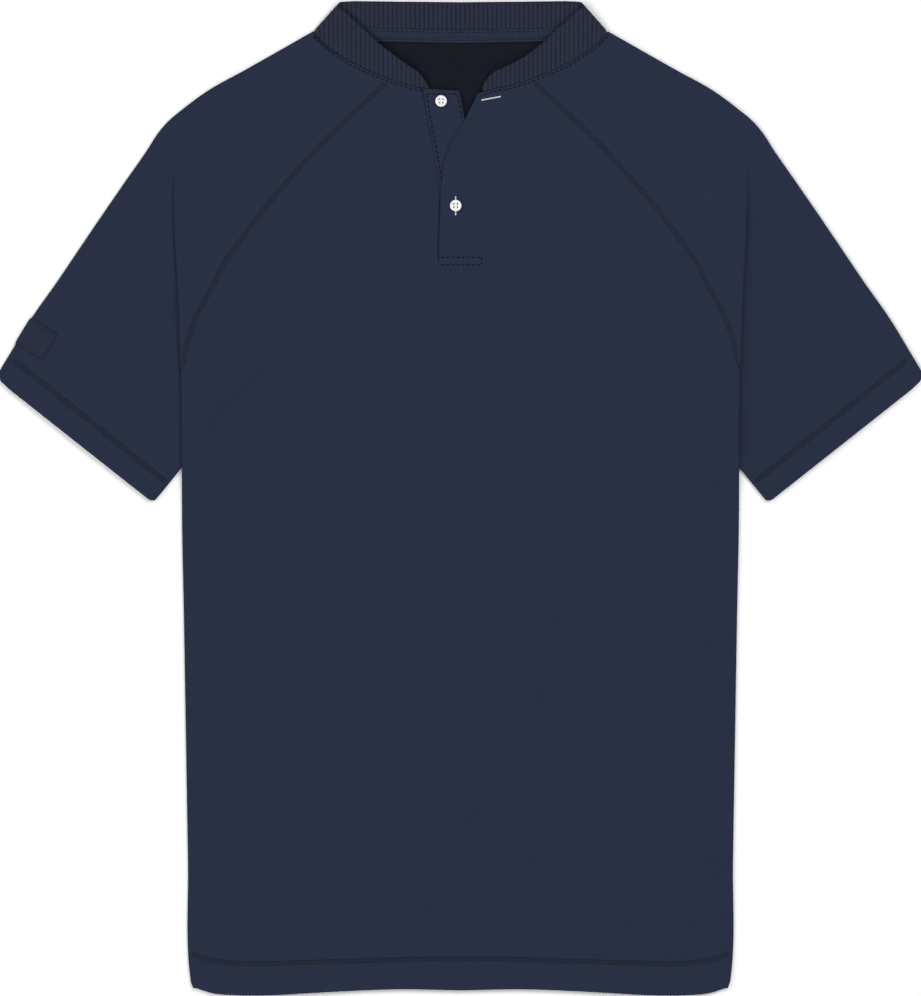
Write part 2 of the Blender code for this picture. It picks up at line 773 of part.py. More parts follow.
def collar_back():
    """Seam and top-edge points of the collar's back, from one side fold to the other."""
    reach = BACK_SEAM["out"][-1]
    x = np.linspace(-reach, reach, 2 * round(reach / (RIB_PITCH / 2)) + 1)
    out = np.abs(x)
    seam_y = lookup(BACK_SEAM, "out", "y", out)
    seam = np.stack([x, seam_y, np.full_like(x, COLLAR_BACK_LEVEL)], -1)
    top_out = out - leaning(out, reach, BACK_LEAN)
    top_y = lookup(BACK_TOP_EDGE, "out", "y", top_out)
    rise = lookup(COLLAR_BACK_RISE, "out", "rise", top_out)
    top = np.stack([np.sign(x) * top_out, top_y, COLLAR_BACK_LEVEL + rise], -1)
    return seam, top


def side_turn(front, back, radius, outward, steps=7):
    """Points round the collar's side fold, from its front's edge to its back's."""
    share = np.linspace(0, 1, steps + 1)[1:-1]
    between = front + share[:, None] * (back - front)
    between[:, 2] = (front[2] + back[2]) / 2 + np.cos(math.pi * share) * (front[2] - back[2]) / 2
    between[:, :2] += radius * np.sin(math.pi * share)[:, None] * outward
    return between


def collar_lines():
    """The collar's seam and free edge from its left end round the back to its right end.

    The last value is 1 on its fronts, whose outer side shows, -1 on its back and 0 round the folds.
    """
    back_seam, back_top = collar_back()
    seam, top, facing = [], [], []
    for side in (LEFT, RIGHT):
        front_seam, front_top = collar_front(side)
        order = 1 if side == LEFT else -1
        axis = (front_top[-1] - front_seam[-1])[:2]
        outward = np.array([axis[1], -axis[0]]) / np.linalg.norm(axis)
        turn_seam = side_turn(front_seam[-1], back_seam[-1], COLLAR_FOLD_RADIUS, outward)
        turn_top = side_turn(front_top[-1], back_top[-1], COLLAR_TOP_RADIUS, outward)
        half_seam = signed(np.concatenate([front_seam, turn_seam]), side)
        half_top = signed(np.concatenate([front_top, turn_top]), side)
        seam.append(half_seam[::order])
        top.append(half_top[::order])
        half_facing = np.concatenate([np.ones(len(front_seam)), np.zeros(len(turn_seam))])
        facing.append(half_facing[::order])
    seam = np.concatenate([seam[0], back_seam, seam[1]])
    top = np.concatenate([top[0], back_top, top[1]])
    return seam, top, np.concatenate([facing[0], -np.ones(len(back_seam)), facing[1]])


def surface_normals(grid):
    along = np.gradient(grid, axis=0)
    across = np.gradient(grid, axis=1)
    normal = np.cross(across, along)
    return normal / np.linalg.norm(normal, axis=2, keepdims=True)


def make_collar(finish):
    """One rib strip, folded at both sides of the neck; its ribs run from the seam to the edge."""
    seam, top, facing = collar_lines()
    shares = np.array([0.0, 0.5, 1.0])
    width = np.linalg.norm(top - seam, axis=1)
    start = np.minimum(SEAM_GAP * 1.2 / width, 0.4)
    share = start[:, None] + (1 - start[:, None]) * shares
    middle = seam[:, None] + share[..., None] * (top - seam)[:, None]
    normal = surface_normals(middle)
    from_fold = COLLAR_LINE_FOLD - np.abs(seam[:, 0])
    arch = COLLAR_ARCH * ease(from_fold / COLLAR_SIDE_REACH) * facing * width / COLLAR_WIDTH
    middle += normal * (arch[:, None] * np.sin(math.pi * share))[..., None]
    raised = RIB_HEIGHT * (np.arange(len(seam)) % 2)
    outer = middle + normal * (RIB / 2 + raised * (facing > 0))[:, None, None]
    inner = middle - normal * (RIB / 2 + raised * (facing < 0))[:, None, None]
    return add_closed_wall("rib_collar", outer, inner, finish)


def add_closed_wall(name, outer, inner, finish):
    """A wall lofted between its own outer and inner points."""
    rows, wide = outer.shape[:2]
    numbers = np.arange(rows * wide).reshape(rows, wide)
    under = numbers + rows * wide
    faces = grid_faces(numbers)
    faces += [face[::-1] for face in grid_faces(under)]
    rim = np.concatenate([numbers[0], numbers[1:, -1], numbers[-1, -2::-1], numbers[-2:0:-1, 0]])
    for a, b in zip(rim, np.roll(rim, -1)):
        low_a, low_b = int(a) + rows * wide, int(b) + rows * wide
        faces += [(int(b), int(a), low_a), (int(b), low_a, low_b)]
    built = add_object(name, np.concatenate([outer.reshape(-1, 3), inner.reshape(-1, 3)]), faces, finish)
    sides = bmesh.new()
    sides.from_mesh(built.data)
    bmesh.ops.recalc_face_normals(sides, faces=sides.faces)
    sides.to_mesh(built.data)
    sides.free()
    return built


def make_under_placket(finish):
    """The button stand under the flap, sewn to the left of the front's slit."""
    rows = []
    for y in np.linspace(BAND_TOP_Y, BAND_FOOT_Y, 13):
        start = lookup(PLACKET_SEAM, "y", "x", y) + SEAM_GAP
        width = lookup(BAND_WIDTHS, "y", "width", y) - SEAM_GAP
        x = start + np.linspace(0, width, 5)
        rows.append(np.stack([x, np.full(5, y), np.full(5, BAND_LEVEL)], -1))
    return add_grid_wall("under_placket", np.array(rows)[:, ::-1], BAND, finish)


def make_tape(finish):
    """The tape covers the back neck seam and lies on the collar's foot and on the back."""
    seam, top = collar_back()
    x = np.linspace(-TAPE_ENDS, TAPE_ENDS, 17)
    out = np.abs(x)
    top_y = lookup(TAPE_TOP, "out", "y", out)
    foot_y = lookup(TAPE_FOOT, "out", "y", out)
    seam_y = lookup(BACK_SEAM, "out", "y", out)
    clear = SEAM_GAP + TAPE / 2
    rise = np.interp(x, seam[:, 0], top[:, 2] - seam[:, 2])
    depth = np.interp(x, seam[:, 0], top[:, 1] - seam[:, 1])
    rows = []
    for share in (0.0, 0.45, 0.7, 1.0):
        y = foot_y + share * (top_y - foot_y)
        on_collar = RIB + RIB_HEIGHT + COLLAR_ARCH / 2 + rise * np.clip((y - seam_y) / depth, 0, 1)
        lies_on = np.where(y > seam_y - 2.0, on_collar, JERSEY)
        rows.append(np.stack([x, y, lies_on + clear], -1))
    return add_grid_wall("neck_tape", np.array(rows)[::-1], TAPE, finish)


def make_label(finish):
    """The label is wrapped round the outer fold of the sleeve."""
    first, last = np.interp(LABEL_ON_EDGE, SLEEVE_LINE[:, 0], run_of(SLEEVE_LINE))
    chord = point_at(SLEEVE_LINE, last) - point_at(SLEEVE_LINE, first)
    inward = np.array([chord[1], -chord[0]]) / np.linalg.norm(chord)
    lift = JERSEY / 2 + SEAM_GAP + LABEL / 2
    middle = (LOWER_LEVEL + UPPER_LEVEL) / 2
    rows = []
    for distance in np.linspace(first, last, 4):
        stop = point_at(SLEEVE_LINE, distance) + inward * EDGE_INSET
        reach = np.linspace(LABEL_REACH - EDGE_INSET, 0, 7)[:-1]
        plan = stop + reach[:, None] * inward
        height = upper_height(plan[:, 0], plan[:, 1]) + lift
        angle = np.linspace(0, LABEL_WRAP, 7)
        turn = stop - np.sin(angle)[:, None] * inward * (FOLD_RADIUS + lift)
        turn_height = middle + (FOLD_RADIUS + lift) * np.cos(angle)
        flat = np.concatenate([plan, height[:, None]], 1)
        rows.append(np.concatenate([flat, np.concatenate([turn, turn_height[:, None]], 1)]))
    grid = signed(np.array(rows), LEFT)
    return add_grid_wall("sleeve_label", grid[::-1], LABEL, finish)


def make_button(name, place, height, finish):
    """A turned button with a raised rim and four holes."""
    top = height + BUTTON_THICKNESS
    profile = (
        (0.0, top - BUTTON_DISH),
        (BUTTON_RADIUS - BUTTON_RIM - 0.6, top - BUTTON_DISH),
        (BUTTON_RADIUS - BUTTON_RIM, top),
        (BUTTON_RADIUS - 0.3, top),
        (BUTTON_RADIUS, top - 0.7),
        (BUTTON_RADIUS, height + 0.7),
        (BUTTON_RADIUS - 0.7, height),
        (0.0, height),
    )
    edges = [(i, i + 1) for i in range(len(profile) - 1)]
    mesh = bpy.data.meshes.new(name)
    mesh.from_pydata([(r * MM, 0, z * MM) for r, z in profile], edges, [])
    mesh.materials.append(finish)
    built = bpy.data.objects.new(name, mesh)
    built.location = (place[0] * MM, place[1] * MM, 0)
    bpy.data.collections[COLLECTION].objects.link(built)
    turned = built.modifiers.new("turned", "SCREW")
    turned.steps = 24
    turned.render_steps = 24
    turned.use_merge_vertices = True
    turned.merge_threshold = 1e-5
    for number, corner in enumerate(((1, 1), (-1, 1), (-1, -1), (1, -1))):
        cutter = add_hole_cutter(f"{name}_hole_{number}", place, corner, height)
        cut = built.modifiers.new(f"hole_{number}", "BOOLEAN")
        cut.object = cutter
    return built


def add_hole_cutter(name, place, corner, height):
    shape = bmesh.new()
    radius = BUTTON_HOLE_RADIUS * MM
    bmesh.ops.create_cone(
        shape, cap_ends=True, segments=10, radius1=radius, radius2=radius, depth=3 * BUTTON_THICKNESS * MM
    )
    mesh = bpy.data.meshes.new(name)
    shape.to_mesh(mesh)
    shape.free()
    cutter = bpy.data.objects.new(name, mesh)
    x, y = (place[i] + corner[i] * BUTTON_HOLE_OFFSET for i in (0, 1))
    cutter.location = (x * MM, y * MM, (height + BUTTON_THICKNESS / 2) * MM)
    cutter.hide_render = True
    cutter.display_type = "WIRE"
    bpy.data.collections["cutters"].objects.link(cutter)
    return cutter


def clear_scene():
    for found in list(bpy.data.objects):
        bpy.data.objects.remove(found, do_unlink=True)
    for name in (COLLECTION, "cutters"):
        bpy.context.scene.collection.children.link(bpy.data.collections.new(name))


def main():
    clear_scene()
    jersey = material("navy_jersey", NAVY, 0.9)
    make_back(material("navy_jersey_back", DARK_NAVY, 0.9))
    make_front(jersey)
    make_sleeve("sleeve_left", LEFT, material("navy_jersey_left_sleeve", NAVY, 0.9))
    make_sleeve("sleeve_right", RIGHT, material("navy_jersey_right_sleeve", NAVY, 0.9))
    make_collar(material("navy_rib", RIB_NAVY, 0.9))
    make_tape(material("navy_tape", RIB_NAVY, 0.85))
    make_under_placket(material("navy_band", NAVY, 0.9))
    make_label(material("navy_label", RIB_NAVY, 0.6))
    on_band = BAND_LEVEL + BAND / 2 + SEAM_GAP
    make_button("button_top", TOP_BUTTON, on_band, material("white_button_top", BUTTON_WHITE, 0.35))
    flap = front_height(RIGHT, np.array([LOWER_BUTTON[0]]), np.array([LOWER_BUTTON[1]]))[0]
    on_flap = flap + JERSEY / 2 + SEAM_GAP
    make_button("button_lower", LOWER_BUTTON, on_flap, material("white_button_lower", BUTTON_WHITE, 0.35))


main()
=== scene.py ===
"""The looks of a navy raglan polo shirt, laid flat on its back, on a pale floor in soft studio light.

Each cut piece of cloth is a thin wall on the form of its solid, at a finer step, with the soft
creases of a shirt that has just been laid down. Sewing is made of single stitches.

Lengths are in millimetres and MM turns them to metres where a mesh is made. Both sides of the shirt
are worked out in (out, y), where out is the distance from the centre line, and a side's sign gives x.
"""

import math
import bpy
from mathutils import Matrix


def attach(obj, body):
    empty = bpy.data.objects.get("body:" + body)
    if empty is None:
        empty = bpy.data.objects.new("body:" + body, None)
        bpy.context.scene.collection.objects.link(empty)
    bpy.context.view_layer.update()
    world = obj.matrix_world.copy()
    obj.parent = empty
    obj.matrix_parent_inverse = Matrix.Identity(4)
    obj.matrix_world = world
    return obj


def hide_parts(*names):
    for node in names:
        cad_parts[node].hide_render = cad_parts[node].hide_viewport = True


bl_info = {
    "name": "Raglan polo shirt",
    "version": (1, 0, 0),
    "blender": (4, 5, 0),
    "location": "View3D > Sidebar > Polo shirt",
    "description": "Dresses the solids of a laid polo shirt with knitted cloth, rib, stitches and buttons",
    "category": "Object",
}

import bmesh
import bpy
import numpy as np

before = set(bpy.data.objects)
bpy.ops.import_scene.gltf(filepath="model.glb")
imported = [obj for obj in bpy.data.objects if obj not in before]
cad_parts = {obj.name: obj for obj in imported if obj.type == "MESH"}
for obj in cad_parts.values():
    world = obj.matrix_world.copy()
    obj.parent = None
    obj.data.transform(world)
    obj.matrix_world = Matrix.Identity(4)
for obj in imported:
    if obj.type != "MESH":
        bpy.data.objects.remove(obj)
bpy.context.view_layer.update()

MM = 0.001
LEFT, RIGHT = -1, 1

# Thickness of each cloth, and how the cloths are stacked.
JERSEY = 1.0
RIB = 1.6
BAND = 1.4
TAPE = 0.8
LABEL = 0.6
SEAM_GAP = 0.3
SEWN_GAP = 0.06
FOLD_RADIUS = 1.0
LOWER_LEVEL = JERSEY / 2
UPPER_LEVEL = LOWER_LEVEL + 2 * FOLD_RADIUS
EDGE_INSET = FOLD_RADIUS + JERSEY / 2
SEAM_TURN = math.acos(SEAM_GAP / 2 / (FOLD_RADIUS - JERSEY / 2))
CROWN_HEIGHT = 1.4
CROWN_REACH = 45.0
BEND_WEIGHT = 3.0
FLAT_BEFORE_BEND = 4.0
LEAST_FOLD = 1.6
LEAST_TOP = 5.4
LINE_STEP = 1.5
# How far each cloth's edges are rounded off, and the turn in degrees past which an edge is.
JERSEY_EDGE = 0.22
RIB_EDGE = 0.25
BAND_EDGE = 0.4
TAPE_EDGE = 0.2
LABEL_EDGE = 0.15
EDGE_ANGLE = 50
RIB_EDGE_ANGLE = 60
# Points along each part of a section, and the last share at which a fold is looked for.
ROW_POINTS = 120
CROSSING_POINTS = 200
SECTION_POINTS = 60
CURL_POINTS = 14
LOWER_POINTS = 80
FOLD_POINTS = 33
SEAM_CURL_POINTS = 12
LAST_CROSSING = 0.85
# How far the lower cloth takes to settle past its start and before its fold.
LOWER_START_REACH = 12.0
LOWER_END_REACH = 6.0
# A curl under this angle is taken partly as flat cloth.
SLIGHT_CURL = 0.2
FLATTER_START = 0.3
CURL_END_RISE = 0.05
NECK_BEND_SHARE = 0.12


def columns(names, *rows):
    """A short table, as one array for each named column."""
    return dict(zip(names.split(), np.array(rows, float).T))


# Outer fold of a sleeve, from the neck over the shoulder to the cuff's corner.
SLEEVE_EDGE = columns(
    "out y",
    (125.4, 396.4),
    (133.0, 392.1),
    (150.9, 381.9),
    (184.0, 363.2),
    (214.6, 346.2),
    (237.6, 329.2),
    (247.8, 320.7),
    (255.4, 312.2),
    (266.5, 295.2),
    (284.3, 269.7),
    (319.2, 218.7),
    (342.1, 184.7),
    (365.9, 150.7),
    (383.8, 121.0),
    (395.3, 101.8),
)
ARMPIT_EDGE_OUT = 371.0
OUTER_ROUNDING = 9.5
INNER_ROUNDING = 5.5

# Front and back raglan seams, from the neck down to the armpit.
FRONT_RAGLAN = columns(
    "out y",
    (59.1, 355.9),
    (89.2, 328.4),
    (115.2, 303.5),
    (140.7, 275.8),
    (163.0, 250.0),
    (181.5, 226.0),
    (199.8, 200.3),
    (210.9, 178.1),
    (223.8, 154.1),
    (231.1, 133.9),
    (235.6, 112.0),
)
BACK_RAGLAN = columns(
    "out y",
    (92.2, 393.5),
    (136.4, 329.2),
    (174.7, 252.7),
    (202.7, 176.2),
    (218.0, 108.0),
    (224.8, 65.7),
    (227.2, 37.7),
)

# The armhole fold hangs over the sleeve and becomes the body's side below the armpit.
BODY_EDGE = columns(
    "y out",
    (-416.2, 227.2),
    (-411.1, 229.1),
    (-405.0, 229.9),
    (-308.0, 231.6),
    (-206.0, 233.3),
    (-104.0, 235.0),
    (-10.0, 236.7),
    (26.0, 236.7),
    (84.0, 236.9),
    (150.0, 238.8),
    (224.0, 242.2),
    (282.0, 244.0),
    (300.0, 244.2),
)
ARMHOLE_TUCK = columns(
    "y turn run",
    (37.7, 180.0, 7.7),
    (113.0, 180.0, 5.0),
    (205.0, 180.0, 1.0),
    (240.0, 150.0, 0.3),
    (270.0, 70.0, 0.0),
    (295.0, 0.0, 0.0),
)
SIDE_TUCK = columns(
    "y turn run lift",
    (-6.0, math.degrees(SEAM_TURN), 0.0, 0.0),
    (10.0, 120.0, 1.0, 1.2),
    (26.0, 165.0, 4.5, 3.0),
    (37.7, 180.0, 7.7, 4.0),
)
# Where the raglan seam lies on the tucked cloth, and the gap at that seam.
HIDDEN_SEAM = columns("y along", (37.7, 12.4), (56.0, 9.0), (74.0, 6.0), (92.0, 3.0), (108.0, 0.6))
SEAM_GAPS = columns("y gap", (37.7, 1.2), (56.0, 0.8), (74.0, 0.65), (112.0, 0.5), (122.0, SEWN_GAP))
ARMPIT_Y = 37.7
LIFT_KEPT = 10.0
LIFT_FALL = 70.0
RAGLAN_END_Y = 100.0
CUFF_STITCH_STEP = 2.0

UNDERARM = columns("out y", (236.7, 25.8), (260.9, -4.4))
UNDERARM_CURL_END = 0.28

# Top of each stretch of the front, and the step of its rows from there down.
ROW_STEPS = columns(
    "y step",
    (355.9, 1.1),
    (345.0, 3.0),
    (325.0, 5.0),
    (207.0, 1.6),
    (194.0, 5.0),
    (128.0, 2.5),
    (90.0, 4.0),
    (60.0, 2.6),
    (-6.0, 5.0),
    (-378.0, 0.9),
    (-402.0, 1.8),
    (-416.2, 0.0),
)
FRONT_COLUMNS = (7, 36, 7, 26)
BACK_COLUMNS = (26, 6)
SLEEVE_COLUMNS = (18, 6, 18, 16, 14, 12, 6)
SLIT_EDGE = 4.0
SEAM_EDGE = 3.2
SEAM_ZONE = 9.0
UNDERARM_RINGS = 44

HEM = columns(
    "out y",
    (0.0, -418.0),
    (53.0, -417.1),
    (99.0, -418.8),
    (129.6, -420.5),
    (160.2, -422.2),
    (190.8, -422.2),
    (211.2, -420.5),
    (224.8, -416.2),
)
HEM_BLEND_Y = -340.0

# Neck seam and free edge of the collar's front, and the seam and top edge of its back.
NECK_SEAM = columns(
    "out y",
    (13.0, 342.7),
    (18.4, 344.6),
    (27.1, 347.6),
    (41.2, 350.3),
    (51.4, 353.2),
    (60.8, 356.4),
    (71.4, 360.7),
    (82.0, 365.2),
    (90.5, 369.3),
    (98.5, 373.9),
    (106.7, 379.4),
    (114.8, 385.6),
    (123.4, 394.2),
)
COLLAR_FREE_EDGE = columns(
    "out y",
    (26.8, 348.4),
    (28.5, 352.2),
    (31.5, 357.0),
    (35.8, 361.8),
    (42.9, 366.5),
    (51.4, 372.4),
    (60.8, 379.4),
    (71.4, 388.0),
    (82.0, 398.3),
    (90.5, 405.9),
    (98.5, 413.0),
    (103.0, 416.0),
)
BACK_SEAM = columns("out y", (0.0, 393.5), (92.2, 393.5), (120.8, 397.0))
BACK_TOP_EDGE = columns("out y", (0.0, 420.3), (50.0, 421.0), (88.8, 421.9), (98.0, 421.6), (102.0, 420.0))
COLLAR_ENDS = {LEFT: 27.1, RIGHT: 18.6}
COLLAR_END_REACH = 40.0
COLLAR_END_WIDTH = 1.5
LARGEST_START = 0.4
RIB_PITCH = 3.85
RIB_HEIGHT = 0.35
RIB_POINTS = 8
RIB_ROWS = 40
GROOVE_WIDTH = 0.46
# Shares of the way round a side fold of the collar, between its front and its back.
TURN_SHARES = np.linspace(0, 1, 3 * RIB_POINTS + 1)[1:-1]
# The ribs die away and the cloth thins towards the free edge.
RIM_START = 0.3
RIM_REACH = 1.4
RIM_THINNING = 0.35
RIM_THINNING_UNDER = 0.1
FRONT_LEAN = 20.4
BACK_LEAN = 22.8
COLLAR_LEAN_REACH = 62.0
COLLAR_FOLD_RADIUS = 1.7
COLLAR_TOP_RADIUS = 2.2
COLLAR_SIDE_LIFT = 1.4
COLLAR_SIDE_REACH = 40.0
COLLAR_FRONT_RISE = 2.6
COLLAR_WIDTH = 29.0
COLLAR_BACK_LEVEL = RIB / 2 + 0.1
COLLAR_BACK_RISE = columns("out rise", (0.0, 8.0), (40.0, 7.0), (80.0, 3.8), (102.0, 1.6))
COLLAR_ARCH = 0.5
COLLAR_LINE_FOLD = 120.8

# The placket: x of its left seam line, of the free edge of the flap over it, and of the band below.
PLACKET_SEAM = columns(
    "y x",
    (197.0, -19.0),
    (222.1, -18.4),
    (246.8, -17.5),
    (259.5, -17.8),
    (269.4, -18.7),
    (286.7, -21.5),
    (311.8, -26.4),
    (348.2, -33.0),
)
FLAP_EDGE = columns(
    "y x",
    (197.0, -19.0),
    (205.0, -18.2),
    (222.1, -18.0),
    (246.8, -17.1),
    (259.5, -16.8),
    (265.6, -16.3),
    (275.7, -15.2),
    (285.6, -14.0),
    (293.7, -11.5),
    (303.7, -6.5),
    (312.4, -1.5),
    (321.8, 4.1),
    (343.7, 14.7),
)
PLACKET_FOOT_Y = 197.0
PLACKET_EASE = 12.0
SEAM_SINK = 1.2
SEAM_SINK_REACH = 14.0
FLAP_LIFT = 0.45
FLAP_LIFT_REACH = 45.0
NECK_DROP = {LEFT: 7.9, RIGHT: 12.6}
NECK_DROP_END = 300.0
BAND_LEVEL = 2.55
BAND_TOP_Y = 345.6
BAND_FOOT_Y = 199.5
BAND_CORNER_RISE = 2.5
BAND_CORNER_REACH = 45.0
BAND_PUFF = 0.12
DITCH = 0.5
DITCH_WIDTH = 0.9
BAND_WIDTHS = columns("y width", (199.5, 33.0), (345.6, 31.6))
# Insets of the band's stitching from its seam, its free edge and its top, and where each line ends.
BAND_SEAM_INSET = 2.9
BAND_FREE_INSET = 2.1
BAND_TOP_INSET = 2.5
BAND_SEAM_STITCH_END = 262.0
BAND_FREE_STITCH_END = 322.0
BAND_DIP = 0.1
BAND_DIP_WIDTH = 0.9

TAPE_ENDS = 90.0
TAPE_TOP = columns("out y", (0.0, 397.3), (60.0, 398.2), (90.0, 399.2))
TAPE_FOOT = columns("out y", (0.0, 386.6), (60.0, 387.6), (90.0, 388.6))
TAPE_STITCH_INSET = 2.0
TAPE_DIP = 0.1
TAPE_DIP_WIDTH = 0.7
# The tape steps up from the back onto the collar's foot over this length below the seam.
TAPE_STEP_START = 3.5
TAPE_STEP_LENGTH = 3.0

BUTTON_RADIUS = 4.9
BUTTON_THICKNESS = 2.2
# A button's section: radius as a share of its own, and height below its top or above its underside.
BUTTON_FACE = columns(
    "share down",
    *((0.0, 0.55), (0.45, 0.55), (0.62, 0.5), (0.70, 0.36), (0.76, 0.14)),
    *((0.82, 0.02), (0.88, 0.0), (0.94, 0.08), (0.985, 0.32), (1.0, 0.65)),
)
BUTTON_BASE = columns("share up", (1.0, 0.75), (0.97, 0.4), (0.88, 0.1), (0.75, 0.0), (0.0, 0.0))
BUTTON_STEPS = 72
BUTTON_HOLE_RADIUS = 0.75
BUTTON_HOLE_OFFSET = 1.45
BUTTON_HOLES = ((1, 1), (-1, 1), (-1, -1), (1, -1))
# A button's thread: its bars below the rim's top and short of the holes' middles, and its posts.
THREAD_RADIUS = 0.25
THREAD_SINK = 0.42
THREAD_SHORT = 0.35
POST_RADIUS = 0.225
POST_DEPTHS = (0.9, 0.05)
TOP_BUTTON = (-16.5, 337.0)
LOWER_BUTTON = (-4.1, 248.1)

LABEL_ON_EDGE = (364.6, 377.6)
LABEL_REACH = 26.7
LABEL_WRAP = math.radians(118)

LABEL_EDGE_EASE = 8.0
LABEL_REACH_POINTS = 26
LABEL_WRAP_POINTS = 14
LABEL_ROWS = 22

# Stitching.
TOPSTITCH_PITCH = 4.25
TOPSTITCH_LENGTH = 3.1
TOPSTITCH_RADIUS = 0.42
TAPE_STITCH_RADIUS = 0.28
LABEL_STITCH_RADIUS = 0.16
RUNG_PITCH = 1.3
RUNG_RADIUS = 0.3
RUNG_SLANT = 0.35
NEEDLE_RADIUS = 0.24
NEEDLE_SHARE = 0.92
COVER_HALF = 1.8
NECK_STITCH_DROP = 2.8
NECK_STITCH_START = {LEFT: 31.5, RIGHT: 14.6}
RAGLAN_STITCH_START = 4.5
RAGLAN_STITCH_FOOT_Y = 114.0
STITCH_BED = 0.05
# How far a thread's middle stands over the cloth, how far its ends dive and its height, in its radius.
THREAD_STAND = 0.55
THREAD_DIVE = 1.2
THREAD_HEIGHT = 0.8
# Shape of one stitch: share of its length, share of its radius, and share of the dive.
STITCH_SHAPE = columns(
    "along wide dive",
    *((0.0, 0.35, 1.0), (0.12, 0.85, 0.35), (0.5, 1.0, 0.0), (0.88, 0.85, 0.35), (1.0, 0.35, 1.0)),
)
SLEEVE_HEM = ((379.7, 117.6), (249.5, 13.0))
BODY_HEM = columns(
    "out y",
    *((0.0, -391.2), (51.0, -391.8), (145.0, -394.6), (187.0, -395.2), (209.0, -393.0), (227.5, -387.4)),
)
FOOT_BOX = ((-17.7, 204.3), (17.9, 204.3), (17.9, 197.9), (-17.7, 197.9))
OPEN_BUTTONHOLE = ((18.6, 337.9), (33.4, 340.7))
CLOSED_BUTTONHOLE = ((-4.1, 255.4), (-4.1, 240.8))
# A buttonhole's satin stitches and end bars, and half the width of each bead and of the slit.
SATIN_PITCH = 0.42
SATIN_RADIUS = 0.24
BAR_RADIUS = 0.26
BAR_PLACES = (0.1, 0.45)
BAR_REACH = 0.95
BEAD_HALF = 0.26
SLIT_HALF = 0.04

# How far creases stay away from the neck seam and the placket's edges.
CREASE_CLEAR = 12.0
CREASE_RISE = 40.0
CREASE_DEPTH = 3.4
TROUGH_LIMIT = 1.8
CREASE_SPREAD = 0.65
# A crease has a lower fold of the other sense beside it: its share of the depth, place and width.
BESIDE_SHARE = 1.0
BESIDE_PLACE = 1.7
BESIDE_WIDTH = 0.8
# How far a crease runs past its ends, how it fades at each, and how it widens, in shares.
CREASE_OVERRUN = 0.12
CREASE_FADES = (0.45, 0.55)
CREASE_WIDENING = (0.75, 0.5)

# Soft creases of the upper cloth. Depth is below 0 for a trough; bow bends the line.
CREASES = columns(
    "x0 y0 x1 y1 bow width depth",
    (-226.0, 30.0, -128.0, 118.0, 10.0, 15.0, -0.75),
    (-212.0, 8.0, -96.0, 58.0, -8.0, 17.0, -0.55),
    (-222.0, -30.0, -120.0, -18.0, 7.0, 20.0, -0.45),
    (-178.0, 92.0, -92.0, 176.0, -12.0, 18.0, 0.45),
    (222.0, 36.0, 136.0, 104.0, -9.0, 14.0, -0.70),
    (208.0, -4.0, 84.0, 30.0, 10.0, 19.0, -0.60),
    (216.0, -58.0, 108.0, -66.0, -8.0, 21.0, -0.40),
    (186.0, 78.0, 112.0, 160.0, 9.0, 17.0, 0.40),
    (-40.0, 186.0, -122.0, 128.0, 8.0, 20.0, -0.40),
    (38.0, 178.0, 96.0, 104.0, -10.0, 22.0, -0.45),
    (-14.0, 172.0, -30.0, 40.0, 6.0, 24.0, -0.35),
    (-150.0, -96.0, 66.0, -132.0, 16.0, 26.0, -0.50),
    (-60.0, -196.0, 182.0, -168.0, -14.0, 30.0, -0.40),
    (-204.0, -238.0, -30.0, -262.0, 12.0, 26.0, -0.45),
    (28.0, -292.0, 206.0, -316.0, 9.0, 22.0, -0.35),
    (-160.0, -318.0, -64.0, -372.0, -7.0, 20.0, 0.35),
    (96.0, -226.0, 150.0, -104.0, 12.0, 28.0, 0.35),
    (-302.0, 196.0, -262.0, 74.0, 9.0, 15.0, -0.60),
    (-334.0, 150.0, -296.0, 62.0, -6.0, 14.0, 0.45),
    (-262.0, 222.0, -250.0, 120.0, 5.0, 12.0, -0.40),
    (-210.0, 322.0, -262.0, 246.0, -8.0, 16.0, -0.45),
    (306.0, 206.0, 270.0, 84.0, -8.0, 15.0, -0.55),
    (340.0, 142.0, 306.0, 66.0, 6.0, 13.0, 0.40),
    (264.0, 232.0, 252.0, 112.0, -6.0, 12.0, -0.45),
    (204.0, 318.0, 268.0, 250.0, 9.0, 17.0, -0.40),
    (-150.0, 344.0, -84.0, 296.0, 7.0, 18.0, -0.35),
    (146.0, 340.0, 92.0, 288.0, -7.0, 17.0, -0.35),
)
# Low puckers of the back, which rises from the floor along them.
BACK_PUCKERS = columns(
    "x0 y0 x1 y1 bow width depth",
    (-170.0, 210.0, -40.0, 150.0, 9.0, 14.0, 0.45),
    (150.0, 190.0, 62.0, 96.0, -10.0, 15.0, 0.40),
    (-190.0, 20.0, -60.0, -24.0, 8.0, 16.0, 0.50),
    (40.0, -60.0, 196.0, -20.0, -12.0, 15.0, 0.45),
    (-140.0, -150.0, 70.0, -184.0, 12.0, 18.0, 0.40),
    (-60.0, -300.0, 150.0, -262.0, -10.0, 18.0, 0.45),
    (-30.0, 350.0, 84.0, 330.0, 6.0, 14.0, 0.40),
)
PUCKER_END = 205.0
PUCKER_FADE = 20.0

# Relief at the sewing: depth in the seam, height of the doubled cloth beside it, and its width.
SEAM_DIP = 0.32
SEAM_DIP_WIDTH = 0.9
ALLOWANCE_HEIGHT = 0.22
ALLOWANCE_WIDTH = 5.0
ALLOWANCE_FALL = 2.5
